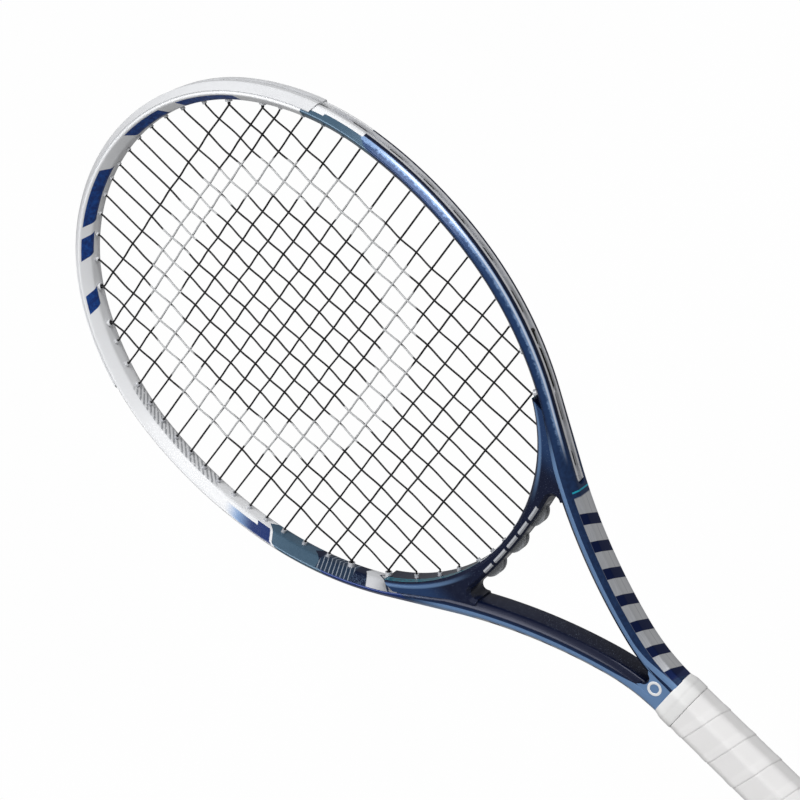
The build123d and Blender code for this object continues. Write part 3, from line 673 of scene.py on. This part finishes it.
class Paint:
    """Node builder for one procedural material."""

    def __init__(self, name):
        self.material = bpy.data.materials.new(name)
        self.material.use_nodes = True
        self.tree = self.material.node_tree
        self.shader = self.tree.nodes["Principled BSDF"]

    def node(self, kind, inputs=(), output=0, **settings):
        """New node with its settings and (socket, value) inputs; gives one output socket."""
        made = self.tree.nodes.new(kind)
        for key, value in settings.items():
            setattr(made, key, value)
        for key, value in inputs:
            self.feed(made.inputs[key], value)
        return made.outputs[output]

    def feed(self, socket, value):
        """Link a socket to another one, or give it a plain value."""
        if isinstance(value, bpy.types.NodeSocket):
            self.tree.links.new(value, socket)
        elif isinstance(value, (tuple, list)) and socket.type == "RGBA":
            socket.default_value = (*value[:3], 1)
        else:
            socket.default_value = value

    def math(self, operation, *values, clamp=False):
        return self.node("ShaderNodeMath", enumerate(values), operation=operation, use_clamp=clamp)

    def add(self, a, b):
        return self.math("ADD", a, b)

    def minus(self, a, b):
        return self.math("SUBTRACT", a, b)

    def times(self, a, b):
        return self.math("MULTIPLY", a, b)

    def inverse(self, mask):
        return self.minus(1.0, mask)

    def step(self, value, low, high):
        """0 below low, 1 above high, smooth between."""
        inputs = enumerate((value, low, high, 0.0, 1.0))
        return self.node("ShaderNodeMapRange", inputs, interpolation_type="SMOOTHSTEP")

    def band(self, value, low, high, soft):
        """1 between low and high, with soft edges."""
        rise = self.step(value, low - soft, low + soft)
        fall = self.step(value, high - soft, high + soft)
        return self.math("SUBTRACT", rise, fall, clamp=True)

    def both(self, *masks):
        """Product of masks: 1 where all of them are."""
        return reduce(self.times, masks)

    def any(self, *masks):
        """Largest of masks: 1 where one of them is."""
        return reduce(lambda a, b: self.math("MAXIMUM", a, b), masks)

    def mix(self, share, a, b):
        """Colour a where share is 0, colour b where it is 1."""
        return self.node("ShaderNodeMix", ((0, share), (6, a), (7, b)), 2, data_type="RGBA")

    def blend(self, share, a, b):
        """Number a where share is 0, number b where it is 1."""
        return self.node("ShaderNodeMix", ((0, share), (2, a), (3, b)), data_type="FLOAT")

    def place(self):
        return self.node("ShaderNodeTexCoord", output="Object")

    def split(self, vector):
        """The three parts of a vector."""
        return self.node("ShaderNodeSeparateXYZ", ((0, vector),)).node.outputs

    def axes(self):
        return self.split(self.place())

    def noise(self, scale, detail=3.0, rough=0.5, stretch=None):
        vector = self.place()
        if stretch:
            vector = self.node("ShaderNodeMapping", (("Scale", stretch), (0, vector)))
        inputs = (("Vector", vector), ("Scale", scale), ("Detail", detail), ("Roughness", rough))
        return self.node("ShaderNodeTexNoise", inputs)

    def cells(self, scale):
        """Distance to the middle of small round cells."""
        return self.node("ShaderNodeTexVoronoi", (("Scale", scale), ("Vector", self.place())))

    def bump(self, height, strength, distance=0.0002):
        inputs = (("Strength", strength), ("Distance", distance), ("Height", height))
        self.feed(self.shader.inputs["Normal"], self.node("ShaderNodeBump", inputs))

    def set(self, **values):
        """Feed the shader by short names and hand back the material."""
        names = {"color": "Base Color", "rough": "Roughness", "metal": "Metallic", "coat": "Coat Weight",
                 "coat_rough": "Coat Roughness", "specular": "Specular IOR Level", "sheen": "Sheen Weight",
                 "transmission": "Transmission Weight", "alpha": "Alpha",
                 "glow_color": "Emission Color", "glow": "Emission Strength"}
        for key, value in values.items():
            self.feed(self.shader.inputs[names[key]], value)
        return self.material


WHITE = (0.86, 0.87, 0.89)
NAVY = (0.003, 0.008, 0.034)
DEEP = (0.0024, 0.006, 0.028)
MID_BLUE = (0.018, 0.055, 0.16)
LIGHT_BLUE = (0.16, 0.28, 0.5)
ROYAL = (0.01, 0.075, 0.33)
BLOCK = (0.006, 0.028, 0.15)
TEAL = (0.02, 0.42, 0.58)
PALE_GREY = (0.62, 0.63, 0.66)

# Landmarks of the tube's paint in metres from the tip, minus on the left
ARM_PAINT = (0.40, 0.43)
WHITE_END_RIGHT = 0.155
WHITE_END_LEFT = -0.2945
SLATE_END_LEFT = -0.330
BLOCK_END_LEFT = -0.388
FADE_LEFT = (-0.2925, -0.2545)
STRIPES_LEFT = (-0.362, -0.337)
SILVER_LEFT = (-0.390, -0.368)
HATCH_LEFT = (-0.251, -0.168)
TIP_BLOCKS = ((0.072, 0.115), (0.026, 0.058), (-0.048, -0.006), (-0.071, -0.056), (-0.106, -0.094))
PANEL = (0.449, 0.572)
PANEL_LINE = (0.4448, 0.4458)
BAR_START = 0.4665
BAR_WIDTH = 0.007
BAR_PITCH = 0.0178
BAR_COUNT = 7


class TubePaint(Paint):
    """Lacquer of the tube with its coordinates: s is metres from the tip, v the facet of frame_section."""

    def __init__(self, name):
        super().__init__(name)
        self.s, self.v = self.split(self.node("ShaderNodeUVMap", uv_map="paint"))[:2]
        self.v_size = self.math("ABSOLUTE", self.v)
        self.s_size = self.math("ABSOLUTE", self.s)
        self.right = self.step(self.s, -0.0001, 0.0001)
        self.left = self.inverse(self.right)
        self.front = self.step(self.v, -0.001, 0.001)
        self.cloud = self.noise(420, 4, 0.65)
        self.shift = self.times(self.minus(self.cloud, 0.5), 0.7)
        self.lean_left = self.add(self.s, self.times(self.v_size, 0.0051))

    def inside(self, facet, soft):
        """1 on the facets nearer the strings than this one."""
        return self.inverse(self.step(self.v_size, facet, facet + soft))


def metallic_blue(p):
    """Navy inner side, speckled between; the light-blue ridge and outer facet are a painted highlight, with
    a pale painted highlight line along the outer facet.
    """
    facet = p.add(p.v_size, p.shift)
    color = p.mix(p.step(facet, 1.9, 3.4), NAVY, MID_BLUE)
    # painted highlight: a light-blue band on the front of the outer facet
    color = p.mix(p.both(p.step(facet, 3.3, 3.6), p.front), color, (0.22, 0.35, 0.6))
    # painted highlight: a thin pale line along the outer facet, on the right from the shoulder down
    painted_highlight_line = p.both(p.band(p.v_size, 3.6, 3.76, 0.03), p.step(p.s, 0.2, 0.235), p.front)
    color = p.mix(p.times(painted_highlight_line, 0.85), color, (0.72, 0.8, 0.93))
    color = p.mix(p.step(p.v_size, 3.79, 3.85), color, NAVY)
    back_line = p.band(p.v, -4.05, -3.85, 0.05)
    color = p.mix(p.times(back_line, 0.6), color, LIGHT_BLUE)
    speckle = p.step(p.noise(2600, 2), 0.56, 0.64)
    speckled = p.both(speckle, p.band(p.v_size, 1.2, 2.2, 0.3), 0.5)
    return p.mix(speckled, color, (0.3, 0.45, 0.7))


def arm_blue(p):
    """Deep blue with fine specks on the inner wall and a painted highlight: one light-blue strip along each
    arm.
    """
    widen = p.times(p.step(p.s_size, 0.54, 0.575), 0.9)
    narrow = p.times(widen, p.step(p.v_size, 2.0, 2.1))
    # painted highlight: a light-blue strip down each arm, its width changed near the shaft
    painted_highlight_right = p.band(p.minus(p.v_size, narrow), 1.7, 2.45, 0.05)
    painted_highlight_left = p.band(p.add(p.v_size, widen), 2.5, 5.4, 0.05)
    strip = p.any(p.both(painted_highlight_right, p.right), p.both(painted_highlight_left, p.left))
    color = p.mix(p.step(p.v_size, 1.9, 2.6), DEEP, p.mix(p.cloud, NAVY, MID_BLUE))
    color = p.mix(strip, color, LIGHT_BLUE)
    stars = p.step(p.noise(1900, 1), 0.68, 0.72)
    return p.mix(p.both(stars, p.inside(0.95, 0.07), 0.5), color, (0.45, 0.55, 0.75))


def white_head(p):
    """Mask of the white on the head, which ends in steps on the right and on a slant on the left."""
    stair = p.add(p.times(p.step(p.v_size, 3.4, 3.42), 0.0145), p.times(p.step(p.v_size, 3.65, 3.67), 0.027))
    right_end = p.inverse(p.step(p.minus(p.s, stair), WHITE_END_RIGHT, WHITE_END_RIGHT + 0.0003))
    left_end = p.step(p.lean_left, WHITE_END_LEFT, WHITE_END_LEFT + 0.0002)
    return p.both(right_end, left_end)


def slate_patches(p, white):
    """Masks of the slate patches: right shoulder, its rail on the back, left shoulder."""
    bare = p.inverse(white)
    slope = p.add(p.add(p.s, p.times(p.v_size, 0.008)), p.times(p.shift, 0.003))
    right = p.both(p.band(p.s, 0.15, 0.23, 0.0004), p.front, bare, p.inverse(p.step(slope, 0.224, 0.226)))
    rail = p.both(p.band(p.s, 0.15, 0.197, 0.001), p.inverse(p.front), bare)
    left = p.band(p.lean_left, SLATE_END_LEFT, WHITE_END_LEFT, 0.0003)
    return right, rail, left


def left_gradient(p, color):
    """White that fades to blue on the outer facets of the left shoulder, with a navy step."""
    outer = p.both(p.band(p.lean_left, BLOCK_END_LEFT, SLATE_END_LEFT, 0.0006), p.step(p.v_size, 2.0, 2.05))
    color = p.mix(outer, color, BLOCK)
    gradient = p.both(p.band(p.lean_left, *FADE_LEFT, 0.0006), p.band(p.v_size, 1.35, 2.45, 0.03))
    notch = p.both(p.band(p.lean_left, FADE_LEFT[0], -0.2825, 0.0003), p.band(p.v_size, 0.96, 2.45, 0.03))
    fade = p.mix(p.step(p.lean_left, -0.28, -0.263), BLOCK, (0.25, 0.4, 0.66))
    fade = p.mix(p.step(p.lean_left, -0.268, -0.2548), fade, WHITE)
    return p.mix(p.any(gradient, notch), color, fade)


def left_trim(p, color):
    """Stripes, a cut silver patch and thin teal lines below the left shoulder."""
    stripes = p.math("PINGPONG", p.add(p.s, p.times(p.v_size, 0.002)), 0.0014)
    striped = p.both(p.band(p.s, *STRIPES_LEFT, 0.0005), p.inside(1.95, 0.1))
    tone = p.mix(p.step(stripes, 0.001, 0.00115), (0.02, 0.04, 0.08), (0.3, 0.34, 0.4))
    color = p.mix(striped, color, tone)
    patch = p.both(p.band(p.add(p.s, p.times(p.v_size, 0.003)), *SILVER_LEFT, 0.0003), p.inside(1.95, 0.1))
    cut = p.band(p.add(p.s, p.times(p.v_size, 0.006)), -0.379, -0.3775, 0.0002)
    bright = p.mix(p.step(p.s, -0.392, -0.375), (0.3, 0.31, 0.34), (0.75, 0.76, 0.79))
    color = p.mix(p.both(patch, p.inverse(cut)), color, bright)
    lines = p.any(*[p.band(p.v_size, at, at + 0.07, 0.015) for at in (0.55, 0.95, 1.35)])
    return p.mix(p.both(lines, p.band(p.s_size, 0.395, 0.445, 0.004), p.left), color, TEAL)


def head_trim(p, white, color):
    """Plain slanted blocks round the tip, a hatched band inside the left, grey lines at the edges."""
    slant = p.times(p.v_size, 0.004)
    blocks = p.any(*[p.band(p.add(p.s, slant), low, high, 0.0002) for low, high in TIP_BLOCKS])
    blocks = p.both(blocks, p.band(p.v_size, 0.55, 1.85, 0.02), p.front)
    color = p.mix(p.times(blocks, white), color, p.mix(p.step(p.cloud, 0.35, 0.7), BLOCK, ROYAL))
    hatch = p.math("PINGPONG", p.add(p.s, p.times(p.v, 0.0045)), 0.002)
    hatched = p.both(p.band(p.s, *HATCH_LEFT, 0.003), p.inside(1.0, 0.1), p.left)
    tone = p.mix(p.step(hatch, 0.0006, 0.0012), (0.36, 0.37, 0.39), (0.8, 0.81, 0.83))
    color = p.mix(p.both(hatched, p.step(p.cloud, 0.3, 0.45)), color, tone)
    edge = p.both(p.band(p.v_size, 3.9, 4.05, 0.03), white)
    return p.mix(p.times(edge, 0.35), color, PALE_GREY)


def arm_panels(p, color):
    """Silver panel with a painted highlight band and plain dark bars on the outside of each arm: its mask
    and the new colour.
    """
    outside = p.step(p.v_size, 3.3, 3.36)
    panel = p.both(p.band(p.s_size, *PANEL, 0.0006), outside)
    brushed = p.noise(300, 3, 0.6, stretch=(1, 0.08, 6))
    silver = p.mix(brushed, (0.5, 0.52, 0.56), (0.82, 0.84, 0.88))
    # painted highlight: a bright band along the middle of the silver panel
    silver = p.mix(p.times(p.band(p.v_size, 4.3, 5.3, 0.9), 0.75), silver, (0.95, 0.96, 0.98))
    color = p.mix(panel, color, silver)
    along = p.add(p.s_size, p.times(p.axes()[2], 0.3))
    starts = [BAR_START + BAR_PITCH * k for k in range(BAR_COUNT)]
    bars = p.any(*[p.band(along, start, start + BAR_WIDTH, 0.0002) for start in starts])
    color = p.mix(p.both(bars, outside), color, (0.006, 0.016, 0.08))
    line = p.both(p.band(p.s_size, *PANEL_LINE, 0.0002), outside)
    return panel, p.mix(line, color, TEAL)


def frame_paint():
    """Whole lacquer of the tube, from its base colours to its gloss."""
    p = TubePaint("racket_lacquer")
    color = p.mix(p.step(p.s_size, *ARM_PAINT), metallic_blue(p), arm_blue(p))
    white = white_head(p)
    color = p.mix(white, color, WHITE)
    patch_right, rail, patch_left = slate_patches(p, white)
    slate = p.mix(p.cloud, (0.055, 0.11, 0.17), (0.085, 0.15, 0.22))
    color = p.mix(p.any(patch_right, rail, patch_left), color, slate)
    color = left_trim(p, left_gradient(p, color))
    panel, color = arm_panels(p, head_trim(p, white, color))
    metal = p.blend(white, 0.25, 0.0)
    metal = p.blend(panel, metal, 0.8)
    metal = p.blend(p.any(patch_left, patch_right), metal, 0.25)
    scuff = p.noise(60, 5, 0.6)
    rough = p.blend(panel, p.add(p.times(scuff, 0.1), 0.24), 0.34)
    grain = p.noise(1500, 2)
    p.bump(p.add(p.times(grain, 0.1), p.times(p.noise(90, 2), 0.6)), 0.12)
    return p.set(color=color, rough=rough, metal=metal, coat=0.12, coat_rough=0.08, specular=0.3)


BRIDGE_LINES = (0.0035, 0.0055, 0.0072)
BRIDGE_DASHES = ((-0.027, -0.019), (-0.0165, -0.005), (-0.0025, 0.0075), (0.010, 0.020), (0.0225, 0.0325))


def arc_rise(p, x, radius):
    """How far a circle of this radius has risen at x from its lowest point."""
    return p.minus(radius, p.math("SQRT", p.minus(radius ** 2, p.times(x, x))))


def bridge_paint():
    """Near-black navy lacquer with a painted soft highlight along the ridge, thin teal lines and plain
    silver dashes.
    """
    p = Paint("bridge_lacquer")
    x, y, z = p.axes()
    x_size = p.math("ABSOLUTE", x)
    cloud = p.noise(420, 4, 0.65)
    outer_y = (BRIDGE_OUTER_Y + BED_Y) / 1000
    level = p.minus(p.minus(y, arc_rise(p, x, BRIDGE_OUTER_RADIUS / 1000)), outer_y)
    inner_y = (BRIDGE_INNER_Y + BED_Y) / 1000
    depth = p.minus(p.minus(y, inner_y), arc_rise(p, x, BRIDGE_INNER_RADIUS / 1000))
    rise = p.minus(z, BED_Z / 1000)
    face = p.step(p.math("ABSOLUTE", rise), 0.0088, 0.0096)
    color = p.mix(cloud, DEEP, NAVY)
    ends = p.step(x_size, 0.052, 0.068)
    color = p.mix(p.both(ends, face, 0.8), color, MID_BLUE)
    # painted highlight: a soft light-blue band near the string side of the faces, towards the ends
    glow = p.both(p.band(depth, -0.0046, -0.0022, 0.0008), face, p.step(x_size, 0.03, 0.06))
    color = p.mix(p.times(glow, 0.75), color, LIGHT_BLUE)
    for at in BRIDGE_LINES:
        line = p.band(rise, at, at + 0.0005, 0.0001)
        color = p.mix(p.both(line, p.step(depth, -0.001, 0.0)), color, TEAL)
    lean = p.minus(x, p.times(level, 0.3))
    dashes = p.any(*[p.band(lean, low, high, 0.0002) for low, high in BRIDGE_DASHES])
    on_face = p.both(face, p.band(level, 0.0012, 0.0034, 0.0002))
    under = p.both(p.band(rise, 0.0048, 0.0085, 0.0002), p.step(-0.001, level, 0.001))
    dash = p.both(dashes, p.any(on_face, under))
    color = p.mix(dash, color, (0.62, 0.64, 0.68))
    stars = p.step(p.noise(1900, 1), 0.69, 0.73)
    color = p.mix(p.times(stars, 0.3), color, (0.4, 0.5, 0.7))
    p.bump(p.noise(1400, 2), 0.06)
    rough = p.add(p.times(cloud, 0.12), 0.26)
    return p.set(color=color, rough=rough, metal=p.blend(dash, 0.2, 0.3), coat=0.25, coat_rough=0.12,
                 specular=0.3)


def plastic_paint(name, color, rough):
    """Moulded plastic: a slight mottle, a fine grain and uneven gloss."""
    p = Paint(name)
    cloud = p.noise(150, 4)
    mottled = 0.04
    low = tuple(c * (1 - mottled) for c in color)
    high = tuple(min(1.0, c * (1 + mottled)) for c in color)
    p.bump(p.noise(900, 3), 0.1, 0.0001)
    return p.set(color=p.mix(cloud, low, high), rough=p.add(p.times(cloud, 0.14), rough - 0.07))


def painted_groove_shade(p):
    """Mask of the painted shade in the groove along the middle of the string channel."""
    away = p.math("ABSOLUTE", p.minus(p.axes()[2], BED_Z / 1000))
    return p.inverse(p.step(away, 0.0017, 0.0021))


def strip_paint():
    """Side grommet strips: silver grey, with painted shade in the groove, white where the bumper meets them.
    """
    p = Paint("strip_plastic")
    tone = p.mix(p.noise(240, 4), (0.6, 0.61, 0.64), (0.82, 0.83, 0.86))
    # painted shade: darker grey in the groove
    tone = p.mix(p.times(painted_groove_shade(p), 0.35), tone, (0.25, 0.26, 0.29))
    wear = p.step(p.noise(700, 2, stretch=(1, 0.2, 1)), 0.5, 0.7)
    tone = p.mix(p.times(wear, 0.25), tone, (0.8, 0.81, 0.84))
    tone = p.mix(p.step(p.axes()[1], 0.2385, 0.2395), tone, (0.8, 0.81, 0.83))
    p.bump(p.noise(800, 2), 0.1, 0.0001)
    return p.set(color=tone, rough=0.33, coat=0.3, metal=0.2)


def bumper_paint():
    """Pale grey bumper with light scrapes and painted shade in the groove."""
    p = Paint("bumper_plastic")
    cloud = p.noise(130, 5)
    tone = p.mix(cloud, (0.69, 0.7, 0.72), (0.78, 0.79, 0.81))
    # painted shade: darker grey in the groove
    tone = p.mix(p.times(painted_groove_shade(p), 0.3), tone, (0.4, 0.41, 0.43))
    scrape = p.step(p.noise(500, 3, stretch=(0.3, 0.3, 1)), 0.62, 0.72)
    tone = p.mix(p.times(scrape, 0.12), tone, (0.5, 0.5, 0.52))
    p.bump(p.add(p.noise(1100, 2), p.times(scrape, -0.4)), 0.12, 0.0001)
    return p.set(color=tone, rough=p.add(p.times(cloud, 0.15), 0.32), coat=0.15)


STENCIL_X, STENCIL_Y = 0.0, BED_Y / 1000 + 0.025
STENCIL_HALF_WIDTH, STENCIL_HALF_HEIGHT = 0.098, 0.092


def string_paint():
    """Black string with a plain pale ring stencilled across the bed."""
    p = Paint("string_polymer")
    x, y, z = p.axes()
    dx = p.math("DIVIDE", p.minus(x, STENCIL_X), STENCIL_HALF_WIDTH)
    dy = p.math("DIVIDE", p.minus(y, STENCIL_Y), STENCIL_HALF_HEIGHT)
    reach = p.math("SQRT", p.add(p.times(dx, dx), p.times(dy, dy)))
    ring = p.band(reach, 0.76, 1.0, 0.006)
    front = p.step(z, 0.01655, 0.0168)
    worn = p.step(p.noise(1500, 3), 0.25, 0.42)
    color = p.mix(p.both(ring, front, worn, 0.93), (0.006, 0.006, 0.007), (0.6, 0.61, 0.62))
    twist = p.noise(500, 2, stretch=(1, 1, 3))
    p.bump(twist, 0.06, 0.00008)
    return p.set(color=color, rough=p.add(p.times(twist, 0.15), 0.38), specular=0.35)


def wrap_paint():
    """White synthetic grip: soft grain, faint warm tone, painted shade along the sunken seams."""
    p = Paint("grip_wrap")
    cloud = p.noise(70, 5)
    tone = p.mix(cloud, (0.87, 0.86, 0.858), (0.92, 0.912, 0.91))
    seam = p.node("ShaderNodeAttribute", output="Fac", attribute_name="seam")
    # painted shade: darker where the seam sinks, by the depth of the seam
    tone = p.mix(p.times(seam, 0.2), tone, (0.6, 0.59, 0.58))
    p.bump(p.add(p.times(p.cells(1400), 0.6), p.times(p.noise(500, 3), 0.6)), 0.16, 0.00015)
    return p.set(color=tone, rough=p.add(p.times(cloud, 0.12), 0.5), sheen=0.25, specular=0.35)


def rubber_paint():
    """White rubber of the collar with fine rings round it."""
    p = Paint("collar_rubber")
    cloud = p.noise(160, 4)
    rings = p.math("PINGPONG", p.axes()[1], 0.0009)
    tone = p.mix(cloud, (0.82, 0.82, 0.82), (0.88, 0.88, 0.87))
    p.bump(p.add(p.noise(1200, 2), p.times(rings, 60)), 0.1, 0.0001)
    return p.set(color=tone, rough=p.add(p.times(cloud, 0.1), 0.5), specular=0.3)


def foam_paint(name, color):
    """Matt foam with fine cells."""
    p = Paint(name)
    darker = tuple(c * 0.8 for c in color)
    p.bump(p.cells(900), 0.3)
    return p.set(color=p.mix(p.noise(120, 4), darker, color), rough=0.85)


def steel_paint():
    """Bright drawn wire of the staples."""
    p = Paint("staple_steel")
    fine = p.noise(900, 3, stretch=(1, 8, 1))
    p.bump(fine, 0.1, 0.00005)
    return p.set(color=p.mix(fine, (0.5, 0.5, 0.52), (0.7, 0.7, 0.72)), rough=0.28, metal=1.0)


def grommet_paint():
    """Translucent plastic of the bridge's grommets."""
    p = Paint("clear_grommet")
    tone = p.mix(p.noise(200, 3), (0.42, 0.44, 0.47), (0.62, 0.64, 0.67))
    p.bump(p.noise(700, 2), 0.08, 0.0001)
    return p.set(color=tone, rough=0.22, transmission=0.35, coat=0.4)


def badge_paint():
    """Glossy white of the ring on the shaft."""
    p = Paint("badge_white")
    tone = p.mix(p.noise(300, 3), (0.8, 0.81, 0.83), (0.88, 0.89, 0.9))
    p.bump(p.noise(900, 2), 0.05, 0.00005)
    return p.set(color=tone, rough=0.25, coat=0.6)


def floor_paint():
    """Evenly lit pale paper, clear when seen from underneath."""
    p = Paint("floor")
    paper = p.mix(p.noise(3, 2), (0.985, 0.985, 0.985), (1, 1, 1))
    underside = p.node("ShaderNodeNewGeometry", output="Backfacing")
    return p.set(color=(0, 0, 0), rough=1.0, specular=0.0, alpha=p.inverse(underside),
                 glow_color=paper, glow=1.0)


def give(piece, material):
    """Finish of a new piece."""
    piece.data.materials.clear()
    piece.data.materials.append(material)


def paint_node(name, material):
    """New finish on a CAD node that stays."""
    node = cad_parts[name]
    for slot in node.material_slots:
        slot.material = material


# ---- pieces

tube = build_frame()
tube.name = "racket_frame"
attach(tube, "racket")
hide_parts("frame_tube")
give(tube, frame_paint())

strings = string_paint()
for name, kind in (("main_string", "main"), ("cross_string", "cross")):
    piece = string_piece("woven_" + name, kind)
    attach(piece, "racket")
    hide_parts(name)
    give(piece, strings)

grip = build_grip()
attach(grip, "racket")
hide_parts("base_grip")
give(grip, wrap_paint())

collar = build_collar()
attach(collar, "racket")
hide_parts("grip_collar")
give(collar, rubber_paint())

badge = build_badge()
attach(badge, "racket")
give(badge, badge_paint())

paint_node("throat_bridge", bridge_paint())
paint_node("bumper_guard", bumper_paint())
side_strip = strip_paint()
paint_node("left_grommet_strip", side_strip)
paint_node("right_grommet_strip", side_strip)
paint_node("throat_grommet_strip", grommet_paint())
paint_node("bridge_core", foam_paint("core_foam", (0.8, 0.76, 0.6)))
pallet_foam = foam_paint("pallet_foam", (0.5, 0.45, 0.36))
paint_node("front_pallet", pallet_foam)
paint_node("back_pallet", pallet_foam)
paint_node("tube_end_plugs", foam_paint("plug_foam", (0.05, 0.05, 0.05)))
paint_node("butt_cap", plastic_paint("cap_plastic", (0.74, 0.74, 0.745), 0.4))
paint_node("butt_cap_door", plastic_paint("door_plastic", (0.3, 0.31, 0.33), 0.42))
paint_node("butt_cap_staples", steel_paint())
paint_node("finishing_tape", plastic_paint("tape_film", (0.7, 0.7, 0.71), 0.35))

# ---- stage, light and camera

LIGHTS = (  # name, place, aim, size, power
    ("key", (0.5, 1.3, 1.9), (0, 0.05, 0), 1.7, 38),
    ("side", (1.9, 0.5, 0.6), (0, 0.05, 0), 0.9, 14),
    ("low", (-1.2, -1.4, 1.4), (0, -0.1, 0), 1.2, 4),
)
WORLD_STRENGTH = 0.26
FLOOR_SIZE = 60
FLOOR_Z = -1.2
CAMERA_SPOT = (1.0605, -0.2148, 1.6005)
CAMERA_RIGHT = (0.5171, -0.7071, -0.4823)
CAMERA_UP = (0.6607, 0.6880, -0.3003)
CAMERA_BACK = (0.5441, -0.1634, 0.8229)


def area_light(name, spot, target, size, power):
    """Round lamp that looks at a target."""
    data = bpy.data.lights.new(name, "AREA")
    data.shape = "DISK"
    data.size = size
    data.energy = power
    lamp = bpy.data.objects.new(name, data)
    lamp.location = spot
    lamp.rotation_euler = (Vector(target) - Vector(spot)).to_track_quat("-Z", "Y").to_euler()
    bpy.context.scene.collection.objects.link(lamp)


def build_stage():
    """Pale floor far below, an even world and the lamps."""
    bpy.ops.mesh.primitive_plane_add(size=FLOOR_SIZE, location=(0, 0, FLOOR_Z))
    floor = bpy.context.object
    floor.name = "stage_floor"
    floor.data.materials.append(floor_paint())
    floor.visible_diffuse = False
    floor.visible_glossy = False
    floor.visible_transmission = False
    world = bpy.data.worlds.new("soft_world")
    bpy.context.scene.world = world
    world.use_nodes = True
    background = world.node_tree.nodes["Background"]
    background.inputs[0].default_value = (1, 1, 1, 1)
    background.inputs[1].default_value = WORLD_STRENGTH
    for light in LIGHTS:
        area_light(*light)


def build_camera():
    """Long lens that sees the front from over the right side."""
    data = bpy.data.cameras.new("camera")
    data.sensor_width = 36
    data.lens = 144
    data.clip_end = 20
    camera = bpy.data.objects.new("camera", data)
    turn = Matrix((CAMERA_RIGHT, CAMERA_UP, CAMERA_BACK)).transposed().to_4x4()
    camera.matrix_world = Matrix.Translation(CAMERA_SPOT) @ turn
    bpy.context.scene.collection.objects.link(camera)
    bpy.context.scene.camera = camera


build_stage()
build_camera()
bpy.context.scene.view_settings.view_transform = "Standard"
